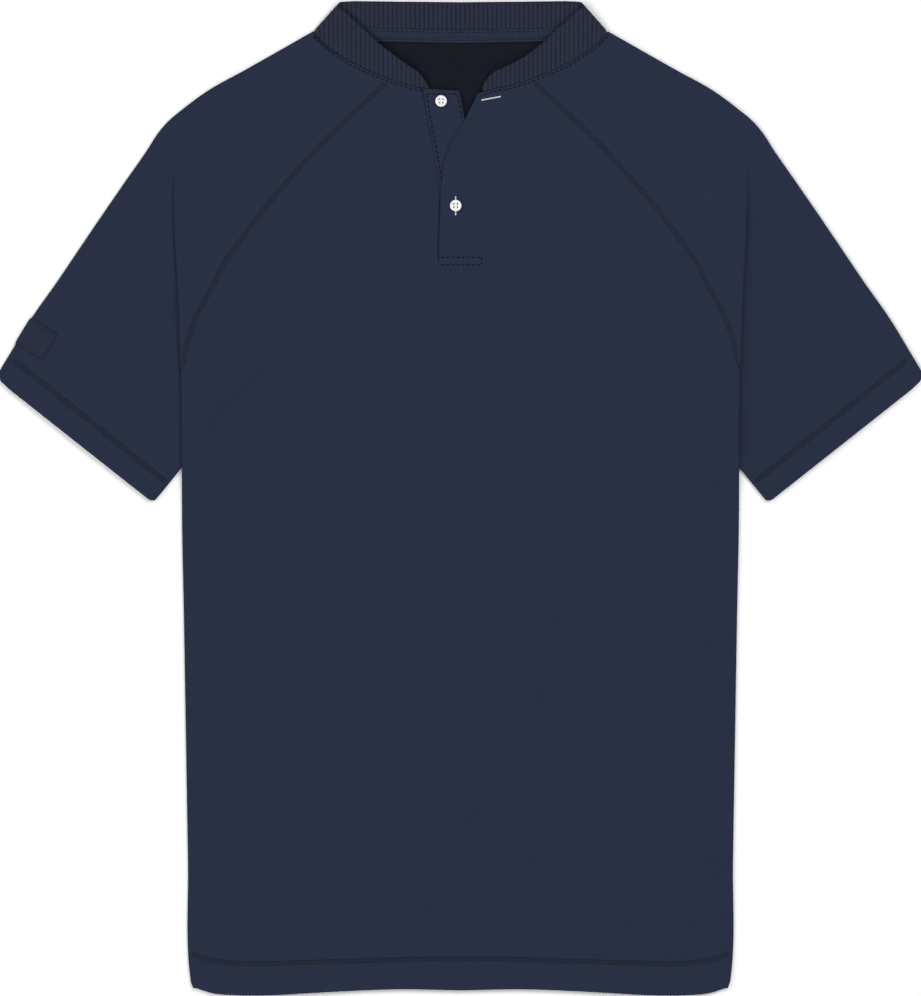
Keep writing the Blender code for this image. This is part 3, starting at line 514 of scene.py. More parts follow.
# Height below which the raglan seam's relief is gone, and how it comes in above.
RELIEF_FOOT_Y = 106.0
RELIEF_RISE = 16.0
HEM_STEP = 0.3
HEM_STEP_HALF = 1.2
SLEEVE_FOOT_Y = -30.0
STITCH_DIP = 0.2
STITCH_DIP_WIDTH = 1.3
NECK_DIP = 0.3
NECK_DIP_WIDTH = 1.6

# Values that the matte cloths' shaders share.
CLOTH_SPECULAR = 0.12
SOFT_CLOTH = {"Specular IOR Level": CLOTH_SPECULAR, "Sheen Weight": 0.08, "Sheen Roughness": 0.5}
# Direction of the wales of the sleeves, whose stitches run along them and not along the body.
SLEEVE_TURN = math.radians(33)
# Colour property and roughness of each kind of thread.
THREADS = {"dark": ("thread", 0.6), "navy": ("cover", 0.7), "white": ("button", 0.5)}
# Name, place and size in metres of each light, and its share of the key light's power.
LIGHTS = (
    ("key", (1.7, 1.6, 2.9), 2.0, 1.0),
    ("fill", (-2.8, 0.8, 2.4), 2.6, 0.76),
    ("front", (-0.6, -3.0, 2.4), 2.4, 0.86),
)
ROOM_COLOUR = (0.95, 0.97, 1.0, 1.0)
ROOM_LIGHT = 0.22
FLOOR_SIZE = 12
SENSOR_WIDTH = 36.0


def ease(t):
    """0 to 1 with level ends."""
    t = np.clip(t, 0.0, 1.0)
    return t * t * (3 - 2 * t)


def bump(distance, width):
    return np.exp(-((distance / width) ** 2))


def lookup(table, key, value, at):
    """The table's value at a place between its rows; key rises down the table."""
    return np.interp(at, table[key], table[value])


def smooth_line(table, first="out", second="y"):
    """Points about LINE_STEP apart on a smooth curve through a table's rows."""
    points = np.stack([table[first], table[second]], -1)
    at = np.r_[0.0, np.cumsum(np.linalg.norm(np.diff(points, axis=0), axis=1))]
    slope = np.gradient(points, at, axis=0)
    fine = np.linspace(0.0, at[-1], int(at[-1] / LINE_STEP) + 2)
    i = np.clip(np.searchsorted(at, fine, "right") - 1, 0, len(at) - 2)
    span = (at[i + 1] - at[i])[:, None]
    t = (fine - at[i])[:, None] / span
    start = (1 + 2 * t) * (1 - t) ** 2 * points[i] + t * (1 - t) ** 2 * span * slope[i]
    return start + t * t * (3 - 2 * t) * points[i + 1] + t * t * (t - 1) * span * slope[i + 1]


def run_of(line):
    """Distance along a polyline to each of its points."""
    return np.r_[0.0, np.cumsum(np.linalg.norm(np.diff(line, axis=0), axis=1))]


def length_of(line):
    return run_of(line)[-1]


def unit(vector):
    """The same direction, one long; a row of vectors is taken one by one."""
    return vector / np.linalg.norm(vector, axis=-1, keepdims=True)


def lifted(plan, height):
    """Places in plan, each with its height."""
    return np.concatenate([plan, np.broadcast_to(height, len(plan))[:, None]], 1)


def between(start, end, shares):
    """Places at shares of the way from one place to another."""
    return start + np.asarray(shares)[:, None] * (end - start)


def curled(start, heading, angle, level, rise=FOLD_RADIUS):
    """Cloth that turns round a fold from a place, at each angle; rise is below 0 where it turns down."""
    plan = start + FOLD_RADIUS * np.sin(angle)[:, None] * heading
    return lifted(plan, level + rise * (1 - np.cos(angle)))


def point_at(line, distance):
    run = run_of(line)
    return np.stack([np.interp(distance, run, line[:, k]) for k in range(line.shape[1])], -1)


def steps_along(line, count):
    """Distances to count + 1 points along a path, closer together where it bends."""
    lengths = np.linalg.norm(np.diff(line, axis=0), axis=1)
    line = line[np.r_[True, lengths > 1e-6]]
    steps = np.diff(line, axis=0)
    lengths = np.linalg.norm(steps, axis=1)
    heading = steps / lengths[:, None]
    turns = np.arccos(np.clip((heading[1:] * heading[:-1]).sum(1), -1.0, 1.0))
    weight = np.r_[0.0, np.cumsum(lengths + BEND_WEIGHT * np.r_[0.0, turns])]
    return np.interp(np.linspace(0.0, weight[-1], count + 1), weight, run_of(line))


def stretch_of(line, start, end):
    """The part of a path between two distances along it."""
    run = run_of(line)
    inside = line[(run > start + 1e-6) & (run < end - 1e-6)]
    return np.concatenate([[point_at(line, start)], inside, [point_at(line, end)]])


def evenly(line, pitch):
    """Points about `pitch` apart along a line."""
    total = length_of(line)
    return point_at(line, np.linspace(0, total, max(2, round(total / pitch) + 1)))


SLEEVE_LINE = smooth_line(SLEEVE_EDGE)
RAGLAN_LINE = smooth_line(FRONT_RAGLAN)
BACK_RAGLAN_LINE = smooth_line(BACK_RAGLAN)
NECK_LINE = smooth_line(NECK_SEAM)
FREE_EDGE_LINE = smooth_line(COLLAR_FREE_EDGE)
HEM_LINE = smooth_line(HEM)
BODY_LINE = smooth_line(BODY_EDGE, "y", "out")
EDGE_POINTS = np.concatenate(
    [SLEEVE_LINE, smooth_line(UNDERARM), BODY_LINE[BODY_LINE[:, 0] < UNDERARM["y"][0]][:, ::-1]]
)


def body_edge(y):
    return np.interp(y, BODY_LINE[:, 0], BODY_LINE[:, 1])


def fold_start(y):
    """Where the upper cloth starts to turn over at the armhole fold or the side."""
    return body_edge(y) - EDGE_INSET


def distance_to(line, out, y):
    """Distance from places to a line given by close points."""
    here = np.stack(np.broadcast_arrays(out, y), -1).reshape(-1, 1, 2)
    start, step = line[:-1], np.diff(line, axis=0)
    along = ((here - start) * step).sum(-1) / (step**2).sum(-1)
    foot = start + np.clip(along, 0, 1)[..., None] * step
    near = np.sqrt(((here - foot) ** 2).sum(-1)).min(1)
    return near.reshape(np.broadcast(out, y).shape)


def crown(out, y):
    """The upper layer stands a little higher away from the folded edges."""
    here = np.stack(np.broadcast_arrays(out, y), -1).reshape(-1, 1, 2)
    near = np.sqrt(((here - EDGE_POINTS[None]) ** 2).sum(-1)).min(1)
    return CROWN_HEIGHT * (1 - np.exp(-near.reshape(np.broadcast(out, y).shape) / CROWN_REACH))


def tuck(y):
    """Turn in radians, run and drop of the cloth that is folded under at height y."""
    above = np.asarray(y) >= ARMPIT_Y
    turn, run = (
        np.where(above, lookup(ARMHOLE_TUCK, "y", value, y), lookup(SIDE_TUCK, "y", value, y))
        for value in ("turn", "run")
    )
    turn = np.radians(turn)
    drop = 2 * FOLD_RADIUS * (1 - np.cos(turn)) + run * np.sin(turn)
    return turn, run, np.where(above, drop, lookup(SIDE_TUCK, "y", "lift", y))


def upper_height(out, y):
    return UPPER_LEVEL + crown(out, y)


def body_height(out, y):
    """Height of the upper layer inside the armhole fold, lifted by the cloth tucked under it."""
    inside = fold_start(y) - out - LIFT_KEPT
    return upper_height(out, y) + tuck(y)[2] * (1 - ease(inside / LIFT_FALL))


def folded(along, turn, run):
    """Outward and downward travel of cloth that turns over, runs back and turns out again."""
    first = FOLD_RADIUS * turn
    angle = np.clip(along, 0, first) / FOLD_RADIUS
    straight = np.clip(along - first, 0, run)
    back = turn - np.clip(along - first - run, 0, first) / FOLD_RADIUS
    outward = FOLD_RADIUS * (np.sin(angle) + np.sin(turn) - np.sin(back)) + straight * np.cos(turn)
    down = FOLD_RADIUS * (1 - np.cos(angle) + np.cos(back) - np.cos(turn)) + straight * np.sin(turn)
    return outward, down


def fold_path(y, start, end):
    """The folded cloth at height y, from one distance along it to another."""
    turn, run, _ = tuck(y)
    along = np.linspace(start, end, SECTION_POINTS)
    outward, down = folded(along, turn, run)
    top = body_height(fold_start(y), y)
    return np.stack([fold_start(y) + outward, np.full(SECTION_POINTS, y), top - down], -1)


def raglan_out(y):
    return np.interp(-y, -RAGLAN_LINE[:, 1], RAGLAN_LINE[:, 0])


def seam_along(y):
    """Distance of the raglan or side seam past the start of the fold at height y."""
    turn, run, _ = tuck(y)
    if y < ARMPIT_Y:
        return FOLD_RADIUS * turn + run
    if y <= HIDDEN_SEAM["y"][-1]:
        return lookup(HIDDEN_SEAM, "y", "along", y)
    return raglan_out(y) - fold_start(y)


def placket_x(side, y):
    table = PLACKET_SEAM if side == LEFT else FLAP_EDGE
    return lookup(table, "y", "x", np.maximum(y, PLACKET_FOOT_Y))


def neck_shift(y):
    """1 at the neck, falling to 0 a little way down the front."""
    return ease((y - NECK_DROP_END) / (ROW_STEPS["y"][0] - NECK_DROP_END))


def sag_from_chord(share, start, end):
    """How far the neck seam lies above the straight line between two of its places."""
    out = start[0] + share * (end[0] - start[0])
    line = np.concatenate([NECK_LINE, SLEEVE_LINE[:1]])
    return np.interp(out, line[:, 0], line[:, 1]) - start[1] - share * (end[1] - start[1])


def neck_sag(share, side):
    """The neck seam's own curve along the front's first row."""
    y = ROW_STEPS["y"][0] - NECK_DROP[side]
    return sag_from_chord(share, (side * placket_x(side, y), y), RAGLAN_LINE[0])


def front_height(side, out, y):
    """Height of the front: it sinks to the placket's seam and the flap lies over the band."""
    height = body_height(out, y)
    past = np.abs(out - side * placket_x(side, y))
    opened = ease((y - PLACKET_FOOT_Y) / PLACKET_EASE)
    if side == LEFT:
        return height - SEAM_SINK * opened * bump(past, SEAM_SINK_REACH)
    return height + FLAP_LIFT * opened * (1 - ease(past / FLAP_LIFT_REACH))


def hem_y(out, y):
    """Rows near the hem take on its shape."""
    share = ease((HEM_BLEND_Y - y) / (HEM_BLEND_Y - HEM["y"][-1]))
    hem = np.interp(np.abs(out), HEM_LINE[:, 0], HEM_LINE[:, 1])
    return y + share * (hem - HEM["y"][-1])


def creased(table, x, y):
    """Height that a table of soft creases adds at each place."""
    height = np.zeros(np.shape(x))
    for x0, y0, x1, y1, bow, width, depth in zip(*table.values()):
        length = math.hypot(x1 - x0, y1 - y0)
        heading = np.array([x1 - x0, y1 - y0]) / length
        along = ((x - x0) * heading[0] + (y - y0) * heading[1]) / length
        across = (y - y0) * heading[0] - (x - x0) * heading[1]
        across = across - bow * (1 - (2 * along - 1) ** 2)
        fade_in = ease((along + CREASE_OVERRUN) / CREASE_FADES[0])
        fade = fade_in * ease((1 + CREASE_OVERRUN - along) / CREASE_FADES[1])
        spread = CREASE_SPREAD * width * (CREASE_WIDENING[0] + CREASE_WIDENING[1] * np.clip(along, 0, 1))
        beside = bump(across - BESIDE_PLACE * spread, BESIDE_WIDTH * spread)
        height += depth * fade * (bump(across, spread) - BESIDE_SHARE * beside)
    return height


def crease(x, y):
    """Soft creases of the upper cloth, clear of the back and dying away at the neck and the placket."""
    out = np.abs(x)
    height = CREASE_DEPTH * creased(CREASES, x, y)
    height = np.where(height < 0, TROUGH_LIMIT * np.tanh(height / TROUGH_LIMIT), height)
    height *= crown(out, y) / CROWN_HEIGHT
    neck = distance_to(NECK_LINE[::4], out, y)
    height *= ease((neck - CREASE_CLEAR) / CREASE_RISE)
    beside = np.minimum(np.abs(x - placket_x(LEFT, y)), np.abs(x - placket_x(RIGHT, y)))
    beside = np.where(y > PLACKET_FOOT_Y, beside, np.hypot(x, y - PLACKET_FOOT_Y))
    return height * ease((beside - CREASE_CLEAR) / CREASE_RISE)


RAGLAN_SEAM = np.concatenate([RAGLAN_LINE, [[body_edge(RAGLAN_END_Y), RAGLAN_END_Y]]])
SLEEVE_HEM_LINE = np.array(SLEEVE_HEM)
SLEEVE_HEM_OUTWARD = unit((SLEEVE_HEM_LINE[0] - SLEEVE_HEM_LINE[1])[::-1] * [1, -1])


def hem_relief(past):
    """The step of the doubled cloth past a hem's stitches, and the dip along them."""
    step = HEM_STEP * ease((past + HEM_STEP_HALF) / (2 * HEM_STEP_HALF))
    return step - STITCH_DIP * bump(past, STITCH_DIP_WIDTH)


def sewn_relief(x, y):
    """Dips where thread pulls the cloth down, and steps where the cloth is double."""
    out = np.abs(x)
    seam = distance_to(RAGLAN_SEAM, out, y)
    visible = ease((y - RELIEF_FOOT_Y) / RELIEF_RISE)
    height = visible * ALLOWANCE_HEIGHT * (1 - ease((seam - ALLOWANCE_WIDTH) / ALLOWANCE_FALL))
    height -= visible * SEAM_DIP * bump(seam, SEAM_DIP_WIDTH)
    on_sleeve = out > body_edge(y) + 1
    height += ~on_sleeve * hem_relief(lookup(BODY_HEM, "out", "y", out) - y)
    from_hem = np.stack(np.broadcast_arrays(out, y), -1) - SLEEVE_HEM_LINE[0]
    height += on_sleeve * (y > SLEEVE_FOOT_Y) * hem_relief((from_hem * SLEEVE_HEM_OUTWARD).sum(-1))
    height -= NECK_DIP * bump(distance_to(NECK_LINE, out, y), NECK_DIP_WIDTH)
    to_slit = placket_x(LEFT, y) - x
    opened = (to_slit > -0.01) * ease((y - PLACKET_FOOT_Y) / PLACKET_EASE)
    return height - opened * DITCH * bump(to_slit, DITCH_WIDTH)


def dressed(grid):
    """Adds creases and relief to the upper cloth; a folded edge takes a share, the lower cloth none."""
    share = np.clip((grid[..., 2] - LOWER_LEVEL) / (UPPER_LEVEL - LOWER_LEVEL), 0, 1)
    grid[..., 2] += share * (crease(grid[..., 0], grid[..., 1]) + sewn_relief(grid[..., 0], grid[..., 1]))
    return grid


def cloth_top(x, y):
    """Height of the top of the front or the sleeves, at places that show."""
    out = np.abs(x)
    over = (np.asarray(x) > placket_x(RIGHT, y)) & (np.asarray(y) > PLACKET_FOOT_Y)
    right = over | (np.asarray(x) > 0)
    height = np.where(
        right, front_height(RIGHT, np.asarray(x), y), front_height(LEFT, -np.asarray(x), y)
    )
    on_sleeve = (out > fold_start(y)) & (np.asarray(y) < ARMHOLE_TUCK["y"][-1])
    height = np.where(on_sleeve, upper_height(out, y), height)
    return height + crease(x, y) + sewn_relief(x, y) + JERSEY / 2


def row_heights():
    """Heights of the front's rows from the neck to the hem, closer at the sewing and the armpit."""
    heights = []
    for top, foot, step in zip(ROW_STEPS["y"][:-1], ROW_STEPS["y"][1:], ROW_STEPS["step"][:-1]):
        count = max(1, round((top - foot) / step))
        heights.extend(np.linspace(top, foot, count + 1)[:-1])
    below = np.array([*heights, ROW_STEPS["y"][-1]])
    for y in (ARMPIT_Y, PLACKET_FOOT_Y):
        below[np.abs(below - y).argmin()] = y
    return below


ROWS = row_heights()


def stepped(path, ends, counts):
    """Points along a path, a count for each stretch up to a distance in ends."""
    points = [path[:1]]
    for start, end, count in zip((0, *ends[:-1]), ends, counts):
        stretch = stretch_of(path, start, end)
        points.append(point_at(stretch, steps_along(stretch, count)[1:]))
    return np.concatenate(points)


def front_row(side, y):
    """One row of the front, from the placket or its foot's line out to the seam."""
    along = seam_along(y)
    inner_y = y - NECK_DROP[side] * neck_shift(y)
    inner_out = side * placket_x(side, inner_y)
    flat_end = fold_start(y) + min(along, 0)
    out = np.linspace(inner_out, flat_end, ROW_POINTS)
    share = (out - inner_out) / (flat_end - inner_out)
    height_y = inner_y + (y - inner_y) * share + neck_shift(y) * neck_sag(share, side)
    row_y = hem_y(out, height_y)
    path = np.stack([out, row_y, front_height(side, out, height_y)], -1)
    if along > 0:
        path = np.concatenate([path, fold_path(y, 0.0, along)[1:]])
    total = length_of(path)
    flat = total - max(along, 0)
    return stepped(path, (SLIT_EDGE, flat - SEAM_ZONE, flat - SEAM_EDGE, total), FRONT_COLUMNS)


def fold_crossing(seam, edge):
    """Share of a sleeve section, from its seam to its outer edge, at which it meets the armhole fold."""
    share = np.linspace(0, LAST_CROSSING, CROSSING_POINTS)
    line = between(seam, edge, share)
    past = line[:, 0] >= fold_start(line[:, 1])
    return share[np.argmax(past)] if past.any() else share[-1]


def cuff_pull(points, corner, rounding):
    """How far the cuff's edge is drawn back near a corner, to round it."""
    short = np.clip(rounding - np.linalg.norm(points - corner, axis=1), 0, rounding)
    return rounding - np.sqrt(rounding**2 - short**2)


def sleeve_top_part(y, edge):
    """The sleeve's section from the raglan seam to its lower cloth, and the length before the fold."""
    gap = lookup(SEAM_GAPS, "y", "gap", y)
    first = seam_along(y) + gap
    if first > 0:
        turn, run, _ = tuck(y)
        return fold_path(y, first, 2 * FOLD_RADIUS * turn + run), 0
    seam = np.array([raglan_out(y), y])
    share = fold_crossing(seam, edge)
    corner = seam + share * (edge - seam)
    start = gap / np.linalg.norm(corner - seam)
    plan = between(seam, corner, np.linspace(start, 1, SECTION_POINTS))
    path = lifted(plan, body_height(*plan.T))
    turn, run, _ = tuck(corner[1])
    flat = length_of(path)
    if turn > 0:
        tail = fold_path(corner[1], 0, 2 * FOLD_RADIUS * turn + run)
        tail += path[-1] - tail[0]
        path = np.concatenate([path, tail[1:]])
    return path, flat


def underarm_start(share):
    """The sleeve's section just past its underarm edge, turned down to the back's."""
    corner = np.stack([UNDERARM["out"], UNDERARM["y"]], -1)
    armpit = np.array([BACK_RAGLAN["out"][-1], ARMPIT_Y])
    line = np.concatenate([armpit[None], corner])
    return point_at(line, share * length_of(line))


def sleeve_lower_part(start, edge, height):
    """From the start of the lower cloth out to the sleeve's folded edge and round it."""
    heading = unit(edge - start)
    stop = edge - heading * EDGE_INSET
    plan = between(start, stop, np.linspace(0, 1, LOWER_POINTS))
    level = upper_height(*plan.T)
    gone = np.linalg.norm(plan - start, axis=1)
    level += (height - level[0]) * np.exp(-gone / LOWER_START_REACH)
    level += (UPPER_LEVEL - level[-1]) * np.exp(-(gone[-1] - gone) / LOWER_END_REACH)
    turn = curled(stop, heading, np.linspace(0, math.pi, FOLD_POINTS)[1:], UPPER_LEVEL, -FOLD_RADIUS)
    return np.concatenate([lifted(plan, level), turn]), stop


def sleeve_bottom_part(stop, end, turn):
    """From the folded edge back under the sleeve to the back seam, turned up by `turn` there."""
    heading = unit(end - stop)
    end = end - heading * (SEWN_GAP if turn == 0 else EDGE_INSET)
    path = lifted(between(stop, end, np.linspace(0, 1, SECTION_POINTS)), LOWER_LEVEL)
    if turn == 0:
        return path
    angle = np.linspace(0, turn, SEAM_CURL_POINTS)[1:]
    return np.concatenate([path, curled(end, heading, angle, LOWER_LEVEL)])


def along_seam_share(y):
    """Share of the front seam's length, neck to armpit, above height y."""
    hidden = HIDDEN_SEAM["y"][-1] - ARMPIT_Y
    total = length_of(RAGLAN_LINE) + hidden
    if y < RAGLAN_LINE[-1, 1]:
        return 1 - hidden * (y - ARMPIT_Y) / (RAGLAN_LINE[-1, 1] - ARMPIT_Y) / total
    return np.interp(-y, -RAGLAN_LINE[:, 1], run_of(RAGLAN_LINE)) / total


def back_raglan_point(y):
    """The place on the back raglan seam that faces height y on the front's."""
    return point_at(BACK_RAGLAN_LINE, along_seam_share(y) * length_of(BACK_RAGLAN_LINE))


def fold_stops(path, flat, top_end, counts):
    """Where a section's steps change: near the fold, or evenly shared where its flat is short."""
    even = steps_along(stretch_of(path, 0, top_end), sum(counts))
    return (
        max(flat - FLAT_BEFORE_BEND, even[counts[0]]),
        max(flat, even[counts[0] + counts[1]]),
    )


def seamward(path, ends, counts):
    """A section's points, with its first stretch packed closer beside the seam."""
    first = ends[0]
    if first < 3 * SEAM_ZONE:
        return stepped(path, ends, counts)
    near = counts[0] // 2
    return stepped(path, (SEAM_ZONE, *ends), (near, counts[0] - near, *counts[1:]))


def sleeve_section(seam_y, share, under):
    """One ring of a sleeve: seam, armhole fold, outer fold and back to the back seam.

    seam_y is the height on the raglan seam, or None past the armpit, where under is the share of
    the underarm edge; share is the place on the outer edge.
    """
    edge = point_at(SLEEVE_LINE, share * length_of(SLEEVE_LINE))
    turn = 0
    if under is None:
        top, flat = sleeve_top_part(seam_y, edge)
        back = back_raglan_point(seam_y)
    else:
        corner = underarm_start(under)
        heading = unit(edge - corner)
        turn = SEAM_TURN * ease(under / UNDERARM_CURL_END)
        start = corner + heading * EDGE_INSET
        top = curled(start, -heading, np.linspace(turn, 0, CURL_POINTS), UPPER_LEVEL, -FOLD_RADIUS)
        if turn < SLIGHT_CURL:
            flatter = between(corner, start, np.linspace(FLATTER_START, 1, CURL_POINTS))
            top[:, :2] = flatter + (top[:, :2] - flatter) * turn / SLIGHT_CURL
        ahead = start + heading * FLAT_BEFORE_BEND
        top = np.append(top, [[*ahead, UPPER_LEVEL + CURL_END_RISE]], 0)
        back, flat = corner, 0
    lower, stop = sleeve_lower_part(top[-1, :2], edge, top[-1, 2])
    bottom = sleeve_bottom_part(stop, back, turn)
    path = np.concatenate([top, lower[1:], bottom[1:]])
    top_end = max(length_of(top), flat + LEAST_FOLD if flat else LEAST_TOP)
    fold_end = length_of(top) + length_of(lower)
    total = length_of(path)
    around_fold = math.pi * FOLD_RADIUS + 2 * FLAT_BEFORE_BEND
    ends = (
        *fold_stops(path, flat, top_end, SLEEVE_COLUMNS[:3]),
        top_end,
        fold_end + FLAT_BEFORE_BEND - around_fold,
        fold_end + FLAT_BEFORE_BEND,
        total - FLAT_BEFORE_BEND - FOLD_RADIUS,
        total,
    )
    return seamward(path, ends, SLEEVE_COLUMNS)


def bend_to_neck(ring, strength):
    """The first sections follow the curved neck seam."""
    share = np.clip((ring[:, 0] - ring[0, 0]) / (ring[:, 0].max() - ring[0, 0]), 0, 1)
    upper = ring[:, 2] > (LOWER_LEVEL + UPPER_LEVEL) / 2
    sag = sag_from_chord(share, RAGLAN_LINE[0], SLEEVE_LINE[0])
    ring[:, 1] += np.where(upper, strength * sag, 0)
    return ring


def sleeve_grid():
    """All of a sleeve's rings, from the neck to the cuff."""
    total = length_of(SLEEVE_LINE)
    armpit_run = np.interp(ARMPIT_EDGE_OUT, SLEEVE_LINE[:, 0], run_of(SLEEVE_LINE)) / total
    rings = []
    for y in ROWS[ROWS >= ARMPIT_Y]:
        share = along_seam_share(y)
        ring = sleeve_section(y, share * armpit_run, None)
        rings.append(bend_to_neck(ring, max(0.0, 1 - share / NECK_BEND_SHARE) ** 2))
    for under in np.linspace(0, 1, UNDERARM_RINGS + 1)[2:]:
        rings.append(sleeve_section(None, armpit_run + (1 - armpit_run) * under, under))
    rings = np.array(rings)
    edge = SLEEVE_LINE[-1]
    corner = np.array([UNDERARM["out"][-1], UNDERARM["y"][-1]])
    back = unit(SLEEVE_LINE[-12] - edge)
    last = rings[-1, :, :2].copy()
    pull = cuff_pull(last, edge, OUTER_ROUNDING) + cuff_pull(last, corner, INNER_ROUNDING)
    hem_start = -UNDERARM_RINGS // 2
    shares = np.linspace(0, 1, -hem_start + 1)[1:]
    rings[hem_start:, :, :2] += (shares**2)[:, None, None] * pull[None, :, None] * back
    return rings


def signed(grid, side):
    return grid * [side, 1, 1]


def linear(text):
    """An sRGB hex colour as linear values."""
    values = [int(text[i : i + 2], 16) / 255 for i in (1, 3, 5)]
    return [v / 12.92 if v <= 0.04045 else ((v + 0.055) / 1.055) ** 2.4 for v in values]


def times(colour, share):
    """A colour made darker or lighter, with no value over 1."""
    return [min(1.0, v * share) for v in colour]


def add_node(tree, kind, links=None, **settings):
    """A node with its settings; links gives an input's value or the socket that feeds it."""
    node = tree.nodes.new(kind)
    for name, value in settings.items():
        setattr(node, name, value)
    for name, source in (links or {}).items():
        socket = node.inputs[name]
        if isinstance(source, bpy.types.NodeSocket):
            tree.links.new(source, socket)
        else:
            socket.default_value = source
    return node


def new_material(name, looks, turn=0.0):
    """A material with its shader's values, its nodes, and a place on it in millimetres.

    The place is turned about the vertical so that its Y runs along the cloth's wales or threads.
    """
    found = bpy.data.materials.new(name)
    found.use_nodes = True
    tree = found.node_tree
    for socket, value in looks.items():
        tree.nodes["Principled BSDF"].inputs[socket].default_value = value
    place = add_node(tree, "ShaderNodeTexCoord").outputs["Object"]
    links = {"Vector": place, "Rotation": (0, 0, turn), "Scale": (1000, 1000, 1000)}
    return found, tree, add_node(tree, "ShaderNodeMapping", links).outputs[0]


def dye(tree, tone, shade, light):
    """Colours a material from shade to light by its tone."""
    links = {0: tone, 6: (*shade[:3], 1.0), 7: (*light[:3], 1.0)}
    ground = add_node(tree, "ShaderNodeMix", links, data_type="RGBA")
    tree.links.new(ground.outputs[2], tree.nodes["Principled BSDF"].inputs["Base Color"])


def raise_surface(tree, height, strength, distance):
    """Gives a material a relief whose depth, distance, is in millimetres."""
    links = {"Strength": strength, "Distance": distance * MM, "Height": height}
    relief = add_node(tree, "ShaderNodeBump", links)
    tree.links.new(relief.outputs[0], tree.nodes["Principled BSDF"].inputs["Normal"])


def wave(tree, value, period):
    """A sine of a length, 0 to 1, that repeats after `period`."""
    angle = add_node(tree, "ShaderNodeMath", {0: value, 1: 2 * math.pi / period}, operation="MULTIPLY")
    sine = add_node(tree, "ShaderNodeMath", {0: angle.outputs[0]}, operation="SINE")
    links = {0: sine.outputs[0], 1: 0.5, 2: 0.5}
    return add_node(tree, "ShaderNodeMath", links, operation="MULTIPLY_ADD").outputs[0]


def cotton_jersey(name, shade, light, wale, turn=0.0):
    """Combed cotton single jersey, piece-dyed and matte.

    Its fine V stitches stand in columns, and its yarns take the dye a little unevenly, so it looks
    soft and very slightly mottled, with a faint bloom at grazing angles. Real wales are 0.8 mm apart,
    less than a dot of the picture, and are drawn 1.7 mm apart.
    """
    looks = {"Roughness": 0.88, **SOFT_CLOTH, "Sheen Tint": (*linear("#8C95AD"), 1.0)}
    found, tree, place = new_material(name, looks, turn)
    across, along = add_node(tree, "ShaderNodeSeparateXYZ", {0: place}).outputs[:2]
    links = {0: wave(tree, across, wale / 2), 1: wale * 0.45, 2: along}
    slanted = add_node(tree, "ShaderNodeMath", links, operation="MULTIPLY_ADD")
    links = {0: wave(tree, across, wale), 1: wave(tree, slanted.outputs[0], wale * 0.8)}
    loops = add_node(tree, "ShaderNodeMath", links, operation="MULTIPLY")
    fuzz = add_node(tree, "ShaderNodeTexNoise", {"Vector": place, "Scale": 0.9, "Detail": 4.0})
    links = {0: fuzz.outputs[0], 1: 0.6, 2: loops.outputs[0]}
    height = add_node(tree, "ShaderNodeMath", links, operation="MULTIPLY_ADD")
    raise_surface(tree, height.outputs[0], 0.35, 0.25)
    mottle = add_node(tree, "ShaderNodeTexNoise", {"Vector": place, "Scale": 0.045, "Detail": 5.0})
    yarn = add_node(tree, "ShaderNodeTexNoise", {"Vector": place, "Scale": 0.55, "Detail": 2.0})
    links = {0: mottle.outputs[0], 1: 0.35, 2: yarn.outputs[0]}
    uneven = add_node(tree, "ShaderNodeMath", links, operation="MULTIPLY_ADD")
    tone = add_node(tree, "ShaderNodeMapRange", {0: uneven.outputs[0], 1: 0.3, 2: 1.05})
    dye(tree, tone.outputs[0], shade, light)
    return found


def flat_knit_rib(name, shade, light):
    """Flat-knitted cotton rib, softer and slightly warmer than the jersey.

    The ribs are in the mesh, with small purl bumps; the grooves between them and the free edge, where the
    ribs die away, are painted darker as shade.
    """
    found, tree, place = new_material(name, {"Roughness": 0.9, **SOFT_CLOTH})
    knots = add_node(tree, "ShaderNodeTexNoise", {"Vector": place, "Scale": 1.1, "Detail": 3.0})
    raise_surface(tree, knots.outputs[0], 0.4, 0.2)
    # Painted shade: the rib's height darkens the colour in the grooves and towards the free edge.
    groove = add_node(tree, "ShaderNodeAttribute", attribute_name="groove")
    mottle = add_node(tree, "ShaderNodeTexNoise", {"Vector": place, "Scale": 0.09, "Detail": 4.0})
    links = {0: mottle.outputs[0], 1: 0.5, 2: groove.outputs["Fac"]}
    uneven = add_node(tree, "ShaderNodeMath", links, operation="MULTIPLY_ADD")
    tone = add_node(tree, "ShaderNodeMapRange", {0: uneven.outputs[0], 1: 0.25, 2: 1.2})
    dye(tree, tone.outputs[0], shade, light)
    return found


def woven_cloth(name, shade, light, pitch, rough):
    """Plain-woven cotton or polyester tape: fine crossing threads, a little smoother than the knit.

    Its threads are about 0.3 mm apart in the real one and are drawn coarser, so that they show.
    """
    looks = {"Roughness": rough, "Specular IOR Level": CLOTH_SPECULAR}
    found, tree, place = new_material(name, looks, math.radians(45))
    parts = add_node(tree, "ShaderNodeSeparateXYZ", {0: place}).outputs
    links = {0: wave(tree, parts[0], pitch), 1: wave(tree, parts[1], pitch)}
    weave = add_node(tree, "ShaderNodeMath", links, operation="MULTIPLY")
    raise_surface(tree, weave.outputs[0], 0.5, 0.15)
    mottle = add_node(tree, "ShaderNodeTexNoise", {"Vector": place, "Scale": 0.3, "Detail": 3.0})
    dye(tree, mottle.outputs[0], shade, light)
    return found


